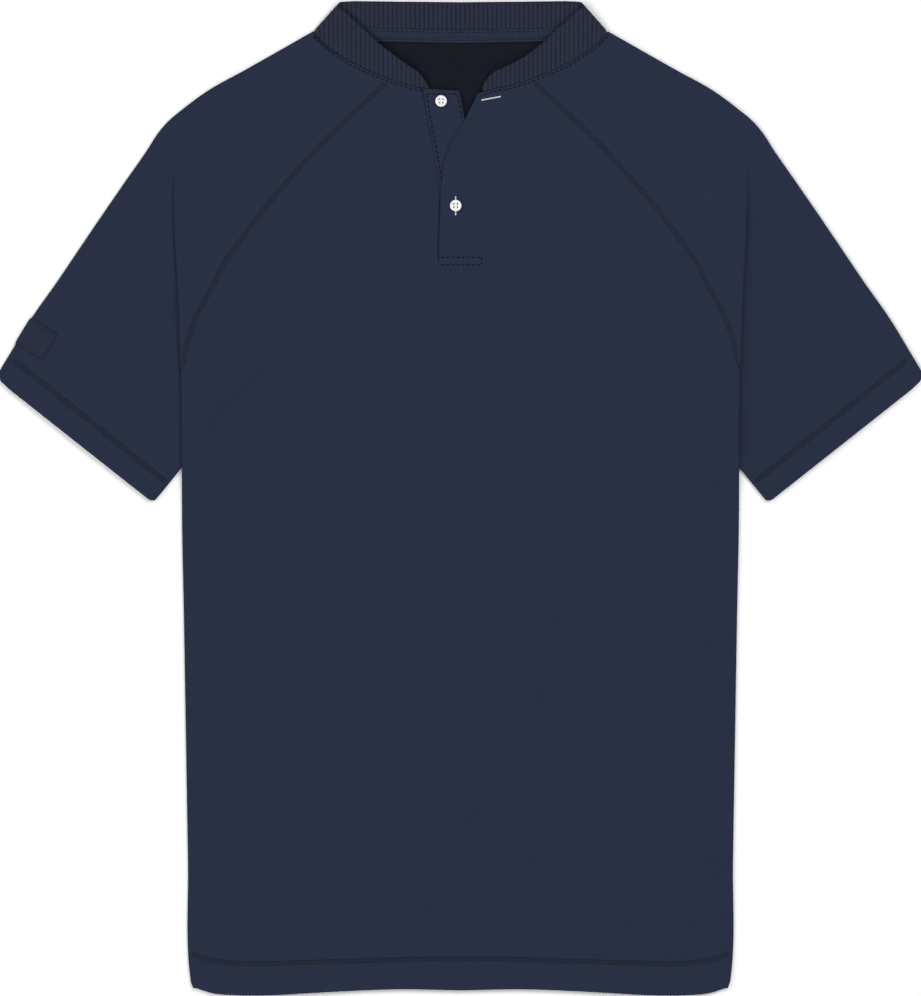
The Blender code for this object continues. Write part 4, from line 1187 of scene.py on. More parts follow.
def spun_polyester(name, shade, light, rough):
    """Spun polyester sewing thread: two plies twisted together, with a low gloss; the grooves between the
    plies are painted darker as shade, and the crowns lighter.
    """
    looks = {"Roughness": rough, "Specular IOR Level": CLOTH_SPECULAR}
    found, tree, place = new_material(name, looks, math.radians(30))
    parts = add_node(tree, "ShaderNodeSeparateXYZ", {0: place}).outputs
    ply_relief_and_shade = wave(tree, parts[0], 0.7)
    raise_surface(tree, ply_relief_and_shade, 0.5, 0.08)
    # Painted shade: the plies' relief also sets the colour, darker in the grooves between them.
    dye(tree, ply_relief_and_shade, shade, light)
    return found


def polished_resin(name, shade, light):
    """Cast polyester resin, turned and tumbled: a white body with a soft, cloudy depth and low gloss."""
    looks = {"Roughness": 0.28, "IOR": 1.56, "Coat Weight": 0.25, "Coat Roughness": 0.15}
    found, tree, place = new_material(name, looks)
    cloud = add_node(tree, "ShaderNodeTexNoise", {"Vector": place, "Scale": 0.5, "Detail": 3.0})
    raise_surface(tree, cloud.outputs[0], 0.08, 0.1)
    dye(tree, cloud.outputs[0], shade, light)
    return found


def painted_board(name, shade, light):
    """A smooth painted studio board, nearly white, with the faintest unevenness."""
    found, tree, place = new_material(name, {"Roughness": 0.8})
    cloud = add_node(tree, "ShaderNodeTexNoise", {"Vector": place, "Scale": 0.01, "Detail": 3.0})
    dye(tree, cloud.outputs[0], shade, light)
    return found


def add_mesh(name, points, faces, finishes):
    mesh = bpy.data.meshes.new(name)
    mesh.from_pydata((np.asarray(points) * MM).tolist(), [], faces)
    built = bpy.data.objects.new(name, mesh)
    bpy.context.scene.collection.objects.link(built)
    for finish in finishes:
        mesh.materials.append(finish)
    mesh.shade_smooth()
    return built


def grid_faces(numbers):
    """Four-sided faces over a grid of point numbers."""
    corners = [numbers[:-1, :-1], numbers[:-1, 1:], numbers[1:, 1:], numbers[1:, :-1]]
    return np.stack([c.ravel() for c in corners], 1).tolist()


def soften(built, width, angle):
    """Rounds off the edges at which faces turn by more than an angle in degrees."""
    soft = built.modifiers.new("soft_edge", "BEVEL")
    soft.width = width * MM
    soft.segments = 2
    soft.limit_method = "ANGLE"
    soft.angle_limit = math.radians(angle)
    return built


def thicken(built, thickness, edge, inside=0):
    """Makes a wall of a cloth's middle surface and rounds off its cut or folded edges."""
    wall = built.modifiers.new("wall", "SOLIDIFY")
    wall.thickness = thickness * MM
    wall.offset = 0
    wall.material_offset = inside
    return soften(built, edge, EDGE_ANGLE)


def grid_wall(name, grid, thickness, edge, finishes, inside=0):
    numbers = np.arange(grid.shape[0] * grid.shape[1]).reshape(grid.shape[:2])
    built = add_mesh(name, grid.reshape(-1, 3), grid_faces(numbers), finishes)
    return thicken(built, thickness, edge, inside)


def keep(built, node):
    """The piece stands for its solid and moves with the shirt's one body."""
    if node:
        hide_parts(node)
    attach(built, "root")
    return built


def make_front(finishes):
    """The front is one piece, slit from the neck down to the placket's foot."""
    points, left, right = [], [], []
    for y in ROWS:
        rows = {side: signed(front_row(side, y), side) for side in (LEFT, RIGHT)}
        first = len(points)
        points.extend(rows[LEFT])
        left.append(np.arange(first, len(points)))
        first = len(points)
        if y > PLACKET_FOOT_Y + 1e-6:
            points.extend(rows[RIGHT])
            right.append(np.arange(first, len(points)))
        else:
            points.extend(rows[RIGHT][1:])
            right.append(np.r_[left[-1][0], np.arange(first, len(points))])
    faces = grid_faces(np.array(left)) + grid_faces(np.array(right)[:, ::-1])
    built = add_mesh("front", dressed(np.array(points)), faces, finishes)
    return thicken(built, JERSEY, JERSEY_EDGE, 1)


def back_row(y):
    """Half a row of the back, from the centre out to its seam."""
    if y >= ARMPIT_Y:
        end, end_y = back_raglan_point(y)
        turn = 0.0
    else:
        fold_turn, fold_run, _ = tuck(y)
        outward, _ = folded(FOLD_RADIUS * fold_turn + fold_run, fold_turn, fold_run)
        end, end_y = fold_start(y) + outward, y
        turn = SEAM_TURN * ease((ARMPIT_Y - y) / (ARMPIT_Y - SIDE_TUCK["y"][0]))
    flat = end - FOLD_RADIUS * math.sin(turn)
    out = np.linspace(0, flat, SECTION_POINTS)
    path = np.stack([out, hem_y(out, end_y), np.full(SECTION_POINTS, LOWER_LEVEL)], -1)
    if turn:
        angle = np.linspace(0, turn, SEAM_CURL_POINTS)[1:]
        curl = curled(np.array([flat, end_y]), np.array([1, 0]), angle, LOWER_LEVEL)
        path = np.concatenate([path, curl])
    total = length_of(path)
    return stepped(path, (total - FLAT_BEFORE_BEND - FOLD_RADIUS, total), BACK_COLUMNS)


def make_back(finishes):
    rows = []
    for y in ROWS:
        half = back_row(y)
        rows.append(np.concatenate([signed(half, LEFT)[::-1], signed(half, RIGHT)[1:]]))
    grid = np.array(rows)
    inner = np.clip((PUCKER_END - np.abs(grid[..., 0])) / PUCKER_FADE, 0, 1)
    grid[..., 2] += inner * np.maximum(creased(BACK_PUCKERS, grid[..., 0], grid[..., 1]), 0)
    return grid_wall("back", grid, JERSEY, JERSEY_EDGE, finishes)


def make_sleeve(name, side, finishes):
    grid = dressed(signed(sleeve_grid(), side))
    return grid_wall(name, grid[:, ::-side], JERSEY, JERSEY_EDGE, finishes, 1)


def leaning(out, fold, lean):
    """How far a rib's free end leans in towards the centre."""
    return lean * np.clip(1 - (fold - out) / COLLAR_LEAN_REACH, 0, 1)


def rib_places(start, end):
    """Places from one end of the collar to the other, in step with its ribs."""
    step = RIB_PITCH / RIB_POINTS
    inner = np.arange(math.ceil(start / step) + 1, math.floor(end / step)) * step
    return np.r_[start, inner, end]


def collar_front(side):
    """Seam and free-edge points of one front of the collar, from its end to the side fold."""
    end = COLLAR_ENDS[side]
    shift = end - COLLAR_ENDS[LEFT]
    fold = NECK_SEAM["out"][-1]
    out = rib_places(end, fold)
    seam_y = np.interp(out, NECK_LINE[:, 0], NECK_LINE[:, 1])
    seam_z = front_height(side, out, seam_y) + (RIB - JERSEY) / 2
    seam_z += COLLAR_SIDE_LIFT * ease((out - fold + COLLAR_SIDE_REACH) / COLLAR_SIDE_REACH)
    top_out = out - leaning(out, fold, FRONT_LEAN)
    top_at = top_out - shift * (1 - ease((top_out - end) / COLLAR_END_REACH))
    free_y = np.interp(top_at, FREE_EDGE_LINE[:, 0], FREE_EDGE_LINE[:, 1])
    free_y = np.maximum(free_y, seam_y + COLLAR_END_WIDTH)
    width = np.hypot(free_y - seam_y, top_out - out)
    seam = np.stack([out, seam_y, seam_z], -1)
    free = np.stack([top_out, free_y, seam_z + COLLAR_FRONT_RISE * width / COLLAR_WIDTH], -1)
    return seam, free


def collar_back():
    """Seam and top-edge points of the collar's back, from one side fold to the other."""
    reach = BACK_SEAM["out"][-1]
    x = rib_places(-reach, reach)
    out = np.abs(x)
    seam_y = lookup(BACK_SEAM, "out", "y", out)
    seam = np.stack([x, seam_y, np.full_like(x, COLLAR_BACK_LEVEL)], -1)
    top_out = out - leaning(out, reach, BACK_LEAN)
    top_y = lookup(BACK_TOP_EDGE, "out", "y", top_out)
    rise = lookup(COLLAR_BACK_RISE, "out", "rise", top_out)
    top = np.stack([np.sign(x) * top_out, top_y, COLLAR_BACK_LEVEL + rise], -1)
    return seam, top


def side_turn(front, back, radius, outward):
    """Points round the collar's side fold, from its front's edge to its back's."""
    angle = math.pi * TURN_SHARES
    turned = between(front, back, TURN_SHARES)
    turned[:, 2] = (front[2] + back[2]) / 2 + np.cos(angle) * (front[2] - back[2]) / 2
    turned[:, :2] += radius * np.sin(angle)[:, None] * outward
    return turned


def collar_lines():
    """The collar's seam and free edge from its left end round the back to its right end.

    The last value is 1 on its fronts, whose outer side shows, and -1 on its back; it changes
    round the folds.
    """
    back_seam, back_top = collar_back()
    seam, top, facing = [], [], []
    for side in (LEFT, RIGHT):
        front_seam, front_top = collar_front(side)
        order = 1 if side == LEFT else -1
        axis = (front_top[-1] - front_seam[-1])[:2]
        outward = unit(np.array([axis[1], -axis[0]]))
        turn_seam = side_turn(front_seam[-1], back_seam[-1], COLLAR_FOLD_RADIUS, outward)
        turn_top = side_turn(front_top[-1], back_top[-1], COLLAR_TOP_RADIUS, outward)
        half_seam = signed(np.concatenate([front_seam, turn_seam]), side)
        half_top = signed(np.concatenate([front_top, turn_top]), side)
        seam.append(half_seam[::order])
        top.append(half_top[::order])
        half_facing = np.concatenate([np.ones(len(front_seam)), np.cos(math.pi * TURN_SHARES)])
        facing.append(half_facing[::order])
    seam = np.concatenate([seam[0], back_seam, seam[1]])
    top = np.concatenate([top[0], back_top, top[1]])
    return seam, top, np.concatenate([facing[0], -np.ones(len(back_seam)), facing[1]])


def surface_normals(grid):
    along = np.gradient(grid, axis=0)
    across = np.gradient(grid, axis=1)
    return unit(np.cross(across, along))


def rib_profile(x):
    """Height of the ribs, 0 in their narrow grooves and 1 on a rib's back; all of them run along Y. The
    collar's material also paints shade by it.
    """
    return 1 - bump(x - RIB_PITCH * np.round(x / RIB_PITCH), GROOVE_WIDTH)


def make_collar(finishes):
    """One rib strip, folded at both sides of the neck; its ribs run from the seam to the edge."""
    seam, top, facing = collar_lines()
    shares = np.r_[0.0, 0.02, 0.06, np.linspace(0.12, 0.9, RIB_ROWS - 6), 0.95, 0.985, 1.0]
    width = np.linalg.norm(top - seam, axis=1)
    start = np.minimum(SEWN_GAP / width, LARGEST_START)
    share = start[:, None] + (1 - start[:, None]) * shares
    middle = seam[:, None] + share[..., None] * (top - seam)[:, None]
    normal = surface_normals(middle)
    from_fold = COLLAR_LINE_FOLD - np.abs(seam[:, 0])
    arch = COLLAR_ARCH * ease(from_fold / COLLAR_SIDE_REACH) * facing * width / COLLAR_WIDTH
    middle += normal * (arch[:, None] * np.sin(math.pi * share))[..., None]
    from_edge = (1 - share) * width[:, None]
    rim = ease((from_edge + RIM_START) / RIM_REACH)
    ribs = RIB_HEIGHT * rib_profile(middle[..., 0]) * rim
    shown = RIB / 2 - RIM_THINNING * (1 - rim) + ribs
    hidden = RIB / 2 - RIB_HEIGHT - RIM_THINNING_UNDER * (1 - rim) + ribs
    in_front = (1 + facing[:, None]) / 2
    outer = middle + normal * (hidden + (shown - hidden) * in_front)[..., None]
    inner = middle - normal * (shown + (hidden - shown) * in_front)[..., None]
    built = closed_wall("collar", outer, inner, finishes)
    # The rib's height is kept for the material, which paints shade into the grooves and towards the free
    # edge.
    groove = built.data.attributes.new("groove", "FLOAT", "POINT")
    value = np.tile((ribs / RIB_HEIGHT).ravel(), 2)
    groove.data.foreach_set("value", value.astype(np.float32))
    return built


def closed_wall(name, outer, inner, finishes):
    """A wall lofted between its own outer and inner points."""
    rows, wide = outer.shape[:2]
    numbers = np.arange(rows * wide).reshape(rows, wide)
    faces = grid_faces(numbers)
    faces += [face[::-1] for face in grid_faces(numbers + rows * wide)]
    rim = np.concatenate([numbers[0], numbers[1:, -1], numbers[-1, -2::-1], numbers[-2:0:-1, 0]])
    for a, b in zip(rim.tolist(), np.roll(rim, -1).tolist()):
        faces.append((b, a, a + rows * wide, b + rows * wide))
    built = add_mesh(name, np.concatenate([outer.reshape(-1, 3), inner.reshape(-1, 3)]), faces, finishes)
    sides = bmesh.new()
    sides.from_mesh(built.data)
    bmesh.ops.recalc_face_normals(sides, faces=sides.faces)
    sides.to_mesh(built.data)
    sides.free()
    return soften(built, RIB_EDGE, RIB_EDGE_ANGLE)


def make_under_placket(finishes):
    """The button stand under the flap, sewn to the left of the front's slit."""
    rows = []
    for y in np.linspace(BAND_TOP_Y, BAND_FOOT_Y, 70):
        start = lookup(PLACKET_SEAM, "y", "x", y) + SEAM_GAP
        width = lookup(BAND_WIDTHS, "y", "width", y) - SEAM_GAP
        share = np.r_[0, 0.012, 0.03, np.linspace(0.06, 0.94, 18), 0.97, 0.988, 1]
        x = start + share * width
        near = share * width
        puff = BAND_PUFF * np.sin(math.pi * share) - DITCH * bump(near, DITCH_WIDTH)
        puff -= BAND_DIP * bump(near - BAND_SEAM_INSET, BAND_DIP_WIDTH)
        puff -= BAND_DIP * bump(width - near - BAND_FREE_INSET, BAND_DIP_WIDTH)
        rise = BAND_CORNER_RISE * ease((y - BAND_TOP_Y + BAND_CORNER_REACH) / BAND_CORNER_REACH)
        rows.append(np.stack([x, y + rise * (1 - share), BAND_LEVEL + puff], -1))
    return grid_wall("placket_band", np.array(rows)[:, ::-1], BAND, BAND_EDGE, finishes)


def tape_height(x, y):
    """Height of the middle of the tape, which lies on the collar's foot and on the back."""
    seam, top = collar_back()
    rise = np.interp(x, seam[:, 0], top[:, 2] - seam[:, 2])
    depth = np.interp(x, seam[:, 0], top[:, 1] - seam[:, 1])
    seam_y = lookup(BACK_SEAM, "out", "y", np.abs(x))
    on_collar = RIB + RIB_HEIGHT + COLLAR_ARCH / 2 + rise * np.clip((y - seam_y) / depth, 0, 1)
    step = ease((y - seam_y + TAPE_STEP_START) / TAPE_STEP_LENGTH)
    lies_on = JERSEY + (on_collar - JERSEY) * step
    return lies_on + SEAM_GAP + TAPE / 2


def make_tape(finishes):
    """The tape covers the back neck seam."""
    x = np.linspace(-TAPE_ENDS, TAPE_ENDS, 150)
    top_y = lookup(TAPE_TOP, "out", "y", np.abs(x))
    foot_y = lookup(TAPE_FOOT, "out", "y", np.abs(x))
    rows = []
    for share in np.linspace(0, 1, 17):
        y = foot_y + share * (top_y - foot_y)
        edge = np.minimum(y - foot_y, top_y - y)
        dip = TAPE_DIP * bump(edge - TAPE_STITCH_INSET, TAPE_DIP_WIDTH)
        rows.append(np.stack([x, y, tape_height(x, y) - dip], -1))
    return grid_wall("back_neck_tape", np.array(rows)[::-1], TAPE, TAPE_EDGE, finishes)


def label_grid():
    """Middle surface of the label, wrapped round the outer fold of the sleeve."""
    first, last = np.interp(LABEL_ON_EDGE, SLEEVE_LINE[:, 0], run_of(SLEEVE_LINE))
    chord = point_at(SLEEVE_LINE, last) - point_at(SLEEVE_LINE, first)
    inward = unit(np.array([chord[1], -chord[0]]))
    lift = JERSEY / 2 + SEAM_GAP + LABEL / 2
    middle = (LOWER_LEVEL + UPPER_LEVEL) / 2
    grid = []
    for distance in np.linspace(first, last, LABEL_ROWS):
        stop = point_at(SLEEVE_LINE, distance) + inward * EDGE_INSET
        reach = np.linspace(LABEL_REACH - EDGE_INSET, 0, LABEL_REACH_POINTS)[:-1]
        plan = stop + reach[:, None] * inward
        height = upper_height(plan[:, 0], plan[:, 1]) + lift
        height += crease(-plan[:, 0], plan[:, 1]) * ease(reach / LABEL_EDGE_EASE)
        angle = np.linspace(0, LABEL_WRAP, LABEL_WRAP_POINTS)
        turn = stop - np.sin(angle)[:, None] * inward * (FOLD_RADIUS + lift)
        turn_height = middle + (FOLD_RADIUS + lift) * np.cos(angle)
        grid.append(np.concatenate([lifted(plan, height), lifted(turn, turn_height)]))
    return signed(np.array(grid), LEFT)


def make_label(finishes):
    return grid_wall("plain_label", label_grid()[::-1], LABEL, LABEL_EDGE, finishes)


def make_button(name, place, height, finishes):
    """A turned four-hole button with a soft raised rim and a dished middle."""
    heights = np.r_[height + BUTTON_THICKNESS - BUTTON_FACE["down"], height + BUTTON_BASE["up"]]
    radii = BUTTON_RADIUS * np.r_[BUTTON_FACE["share"], BUTTON_BASE["share"]]
    turns = np.linspace(0, 2 * math.pi, BUTTON_STEPS + 1)[:-1]
    points = [[*place, heights[0]], [*place, heights[-1]]]
    for radius, z in zip(radii[1:-1], heights[1:-1]):
        points += [[place[0] + radius * math.cos(a), place[1] + radius * math.sin(a), z] for a in turns]
    numbers = np.arange(2, len(points)).reshape(-1, BUTTON_STEPS)
    numbers = np.concatenate([numbers, numbers[:, :1]], 1)
    faces = [face[::-1] for face in grid_faces(numbers)]
    for a, b in zip(numbers[0, :-1].tolist(), numbers[0, 1:].tolist()):
        faces.append((0, a, b))
    for a, b in zip(numbers[-1, :-1].tolist(), numbers[-1, 1:].tolist()):
        faces.append((1, b, a))
    built = add_mesh(name, points, faces, finishes)
    for corner in BUTTON_HOLES:
        cut_hole(built, place, corner, height)
    built.data.set_sharp_from_angle(angle=math.radians(EDGE_ANGLE))
    return built


def cut_hole(button, place, corner, height):
    x, y = (place[i] + corner[i] * BUTTON_HOLE_OFFSET for i in (0, 1))
    bpy.ops.mesh.primitive_cylinder_add(
        vertices=28,
        radius=BUTTON_HOLE_RADIUS * MM,
        depth=3 * BUTTON_THICKNESS * MM,
        location=(x * MM, y * MM, (height + BUTTON_THICKNESS / 2) * MM),
    )
    cutter = bpy.context.object
    cut = button.modifiers.new("hole", "BOOLEAN")
    cut.object = cutter
    cut.solver = "EXACT"
    with bpy.context.temp_override(object=button, active_object=button):
        bpy.ops.object.modifier_apply(modifier=cut.name)
    bpy.data.objects.remove(cutter, do_unlink=True)


def tube(points, faces, centres, radii, across, up, sides):
    """Adds a closed tube with a ring of points round each centre."""
    angles = np.linspace(0, 2 * math.pi, sides + 1)[:-1, None]
    ring = np.cos(angles) * across + np.sin(angles) * up
    numbers = len(points) + np.arange(len(centres) * sides).reshape(-1, sides)
    for centre, radius in zip(centres, radii):
        points.extend(centre + radius * ring)
    numbers = np.concatenate([numbers, numbers[:, :1]], 1)
    faces.extend(grid_faces(numbers))
    faces.append(numbers[0, -2::-1].tolist())
    faces.append(numbers[-1, :-1].tolist())


def stitch(points, faces, start, end, radius, sides=6):
    """Adds one stitch, a small tapered thread between two places on the cloth."""
    direction = end - start
    across = np.array([-direction[1], direction[0], 0.0]) / math.hypot(direction[0], direction[1])
    centres = start + STITCH_SHAPE["along"][:, None] * direction
    centres[:, 2] -= STITCH_SHAPE["dive"] * radius * THREAD_DIVE
    up = np.array([0.0, 0.0, THREAD_HEIGHT])
    tube(points, faces, centres, radius * STITCH_SHAPE["wide"], across, up, sides)


def on_cloth(line, height, radius):
    """Places on the cloth, with a thread's middle just above it."""
    x, y = np.asarray(line).T
    return np.stack([x, y, height(x, y) + radius * THREAD_STAND - STITCH_BED], -1)


def topstitches(name, lines, height, finish, radius=TOPSTITCH_RADIUS):
    """Lockstitches in a row: each line is a polyline of (x, y) places."""
    points, faces = [], []
    for line in lines:
        line = np.asarray(line, float)
        total = length_of(line)
        count = max(1, round(total / TOPSTITCH_PITCH))
        pitch = total / count
        length = TOPSTITCH_LENGTH * pitch / TOPSTITCH_PITCH
        starts = np.arange(count) * pitch + (pitch - length) / 2
        begin = on_cloth(point_at(line, starts), height, radius)
        end = on_cloth(point_at(line, starts + length), height, radius)
        for a, b in zip(begin, end):
            stitch(points, faces, a, b, radius)
    return add_mesh(name, points, faces, [finish])


def coverstitches(name, lines, height, finish):
    """A flat ladder of looper thread over a seam: slanted rungs between two needle lines."""
    points, faces = [], []
    for line in lines:
        line = evenly(np.asarray(line, float), RUNG_PITCH)
        heading = unit(np.gradient(line, axis=0))
        across = np.stack([-heading[:, 1], heading[:, 0]], -1)
        slant = heading * RUNG_PITCH * RUNG_SLANT
        left = line + across * COVER_HALF - slant
        right = line - across * COVER_HALF + slant
        for a, m, b in zip(*(on_cloth(p, height, RUNG_RADIUS) for p in (left, line, right))):
            stitch(points, faces, a, m, RUNG_RADIUS, 5)
            stitch(points, faces, m, b, RUNG_RADIUS, 5)
        for offset in (COVER_HALF, -COVER_HALF):
            needle = on_cloth(line + across * offset, height, RUNG_RADIUS)
            for a, b in zip(needle[:-1], needle[1:]):
                stitch(points, faces, a, a + NEEDLE_SHARE * (b - a), NEEDLE_RADIUS, 5)
    return add_mesh(name, points, faces, [finish])


def mirrored(line):
    return [np.asarray(line) * [side, 1] for side in (LEFT, RIGHT)]


def neck_stitch_lines():
    """Topstitching just below the neck seam, from the placket out to each shoulder."""
    heading = unit(np.gradient(NECK_LINE, axis=0))
    line = NECK_LINE + np.stack([heading[:, 1], -heading[:, 0]], -1) * NECK_STITCH_DROP
    return [line[line[:, 0] > NECK_STITCH_START[side]] * [side, 1] for side in (LEFT, RIGHT)]


def band_free_edge(y):
    return lookup(PLACKET_SEAM, "y", "x", y) + lookup(BAND_WIDTHS, "y", "width", y) - BAND_FREE_INSET


def placket_stitch_lines():
    """Down the band's seam, across its top and down its free edge, as far as they show."""
    top_y = BAND_TOP_Y - BAND_TOP_INSET
    y = np.linspace(top_y, BAND_SEAM_STITCH_END, 40)
    seam = np.stack([lookup(PLACKET_SEAM, "y", "x", y) + BAND_SEAM_INSET, y], -1)
    low = np.linspace(top_y, BAND_FREE_STITCH_END, 8)
    free = np.stack([band_free_edge(low), low], -1)
    return [seam, np.array([seam[0], free[0]]), free]


def band_top(x, y):
    return np.full(np.shape(x), BAND_LEVEL + BAND_DIP + BAND / 2)


def tape_stitch_lines():
    x = np.linspace(-TAPE_ENDS, TAPE_ENDS, 60)
    return [
        np.stack([x, lookup(TAPE_TOP, "out", "y", np.abs(x)) - TAPE_STITCH_INSET], -1),
        np.stack([x, lookup(TAPE_FOOT, "out", "y", np.abs(x)) + TAPE_STITCH_INSET], -1),
    ]


def tape_top(x, y):
    return tape_height(x, y) + TAPE / 2 - TAPE_DIP


def label_stitch_lines():
    """A line of small stitches close to the label's three edges on the front."""
    inset = label_grid()[2:-2, 1:LABEL_REACH_POINTS, :2]
    return [inset[0, ::-1], inset[:, 0], inset[-1]]


def label_top(x, y):
    lift = JERSEY / 2 + SEAM_GAP + LABEL
    return upper_height(np.abs(x), y) + crease(x, y) + lift


def buttonhole(name, ends, height, finishes):
    """Two beads of close satin stitches beside a slit, joined by a bar at each end."""
    points, faces = [], []
    start, end = (np.array(p, float) for p in ends)
    length = np.linalg.norm(end - start)
    heading = (end - start) / length
    across = np.array([-heading[1], heading[0]])
    outer = SLIT_HALF + 2 * BEAD_HALF
    for side in (1, -1):
        for distance in np.arange(SATIN_PITCH / 2, length, SATIN_PITCH):
            middle = start + heading * distance
            reach = [middle + across * side * far for far in (SLIT_HALF, outer)]
            stitch(points, faces, *on_cloth(reach, height, SATIN_RADIUS), SATIN_RADIUS, 5)
    for place, out in ((start, -1), (end, 1)):
        for distance in BAR_PLACES:
            middle = place + heading * out * distance
            wide = across * outer * BAR_REACH
            reach = [middle - wide, middle + wide]
            stitch(points, faces, *on_cloth(reach, height, BAR_RADIUS), BAR_RADIUS, 5)
    return add_mesh(name, points, faces, finishes)


def button_thread(name, place, height, finishes):
    """Two bars of thread over the dished middle, which dive into the four holes."""
    points, faces = [], []
    top = height + BUTTON_THICKNESS - THREAD_SINK
    reach = BUTTON_HOLE_OFFSET - THREAD_SHORT
    across, along = np.eye(3)[:2]
    for row in (1, -1):
        y = place[1] + row * BUTTON_HOLE_OFFSET
        ends = [np.array([place[0] + way * reach, y, top]) for way in (-1, 1)]
        stitch(points, faces, *ends, THREAD_RADIUS, 8)
        for end in ends:
            post = [end - [0, 0, depth] for depth in POST_DEPTHS]
            tube(points, faces, post, (POST_RADIUS, POST_RADIUS), across, along, 8)
    return add_mesh(name, points, faces, finishes)


def button_heights():
    on_band = BAND_LEVEL + BAND / 2 + SEAM_GAP
    flap = front_height(RIGHT, np.array([LOWER_BUTTON[0]]), np.array([LOWER_BUTTON[1]]))[0]
    return on_band, flap + JERSEY / 2 + SEAM_GAP


def colour_property(name, description, text):
    """A colour that a user can change, with its sRGB hex value as default."""
    return bpy.props.FloatVectorProperty(
        name=name, description=description, subtype="COLOR", size=3, min=0, max=1, default=linear(text)
    )


def measure(name, description, default, least, most, kind="NONE"):
    """A number that a user can change, between its least and most."""
    return bpy.props.FloatProperty(
        name=name, description=description, default=default, min=least, max=most, unit=kind
    )


class ShirtCloth(bpy.types.PropertyGroup):
    """Colours of the cloth."""

    navy: colour_property("Navy", "Colour of the jersey in its deeper places", "#20273A")
    navy_light: colour_property(
        "Light navy", "Colour of the jersey where its yarns took less dye", "#252C40"
    )
    # Painted shade: the inside colour is darker than the jersey's navy, for the shade on the back inside
    # the neck opening.
    inside: colour_property("Inside", "Colour of the inner side of the jersey", "#0D1119")
    rib: colour_property("Rib", "Colour of the collar's ribs", "#252A3B")
    wale: measure(
        "Wale spacing", "Distance between the jersey's columns of stitches, in millimetres", 1.7, 0.8, 4.0
    )


class ShirtTrim(bpy.types.PropertyGroup):
    """Colours of threads and buttons."""

    thread: colour_property("Topstitching", "Colour of the lockstitches", "#05070C")
    cover: colour_property("Coverstitching", "Colour of the flat seams' thread", "#1A202A")
    button: colour_property("Button", "Colour of the buttons and their thread", "#EDEDEB")


class StudioSettings(bpy.types.PropertyGroup):
    """The camera and the light."""

    camera_height: measure(
        "Camera height", "Height of the camera above the shirt", 3.5275, 1.0, 10.0, "LENGTH"
    )
    lens: measure("Lens", "Focal length of the camera, in millimetres", 150.0, 20.0, 400.0)
    key_power: measure("Key light", "Power of the large soft light, in watts", 82.0, 0.0, 2000.0)


def jersey_finishes(context, name, turn=0.0):
    """Outer side and inner side of one piece of jersey; the inner side takes the darker reverse colour,
    which is painted shade.
    """
    cloth = context.scene.shirt_cloth
    outer = cotton_jersey(f"combed_cotton_jersey_{name}", cloth.navy, cloth.navy_light, cloth.wale, turn)
    return [outer, shaded_reverse_finish(context)]


def shaded_reverse_finish(context):
    """The jersey's reverse, shared by all pieces: a darker navy than the outer side, which paints the
    shade inside the neck opening, where the back shows.
    """
    name = "combed_cotton_jersey_reverse"
    if name in bpy.data.materials:
        return bpy.data.materials[name]
    cloth = context.scene.shirt_cloth
    return cotton_jersey(name, cloth.inside, times(cloth.inside, 1.25), cloth.wale)


def thread_finish(context, kind):
    """One kind of thread, shared by all that is sewn with it."""
    name = f"spun_polyester_thread_{kind}"
    if name in bpy.data.materials:
        return bpy.data.materials[name]
    colour, rough = THREADS[kind]
    base = getattr(context.scene.shirt_trim, colour)
    return spun_polyester(name, base, times(base, 1.3), rough)


class SHIRT_OT_back(bpy.types.Operator):
    """Make the back, which lies on the floor."""

    bl_idname = "shirt.back"
    bl_label = "Back"

    def execute(self, context):
        # The whole back takes the darker reverse colour, painted shade where it shows inside the neck
        # opening.
        built = keep(make_back([shaded_reverse_finish(context)]), "back_panel")
        return {"FINISHED"}


class SHIRT_OT_front(bpy.types.Operator):
    """Make the front with its placket slit."""

    bl_idname = "shirt.front"
    bl_label = "Front"

    def execute(self, context):
        built = keep(make_front(jersey_finishes(context, "front")), "front_panel")
        return {"FINISHED"}


class SHIRT_OT_sleeves(bpy.types.Operator):
    """Make both raglan sleeves."""

    bl_idname = "shirt.sleeves"
    bl_label = "Sleeves"

    def execute(self, context):
        for word, side in (("left", LEFT), ("right", RIGHT)):
            finishes = jersey_finishes(context, f"{word}_sleeve", side * -SLEEVE_TURN)
            built = make_sleeve(f"{word}_sleeve", side, finishes)
            keep(built, f"sleeve_{word}")
        return {"FINISHED"}


class SHIRT_OT_collar(bpy.types.Operator):
    """Make the rib collar and the tape over its back seam."""

    bl_idname = "shirt.collar"
    bl_label = "Collar and neck tape"

    def execute(self, context):
        cloth = context.scene.shirt_cloth
        # The rib's colour at 0.3 of itself is the painted shade in the grooves.
        rib = flat_knit_rib("flat_knit_cotton_rib", times(cloth.rib, 0.3), cloth.rib)
        collar = keep(make_collar([rib]), "rib_collar")
        woven = woven_cloth("woven_cotton_tape", cloth.navy, cloth.navy_light, 1.6, 0.8)
        tape = keep(make_tape([woven]), "neck_tape")
        return {"FINISHED"}


class SHIRT_OT_placket(bpy.types.Operator):
    """Make the band under the flap of the placket."""

    bl_idname = "shirt.placket"
    bl_label = "Placket band"

    def execute(self, context):
        finishes = jersey_finishes(context, "placket")[:1]
        band = keep(make_under_placket(finishes), "under_placket")
        return {"FINISHED"}


class SHIRT_OT_label(bpy.types.Operator):
    """Make the plain woven label on the sleeve."""

    bl_idname = "shirt.label"
    bl_label = "Sleeve label"

    def execute(self, context):
        navy = context.scene.shirt_cloth.navy
        woven = woven_cloth("woven_polyester_label", times(navy, 0.8), times(navy, 1.12), 0.9, 0.55)
        label = keep(make_label([woven]), "sleeve_label")
        finish, lines = thread_finish(context, "dark"), label_stitch_lines()
        sewing = topstitches("label_stitches", lines, label_top, finish, LABEL_STITCH_RADIUS)
        keep(sewing, None)
        return {"FINISHED"}


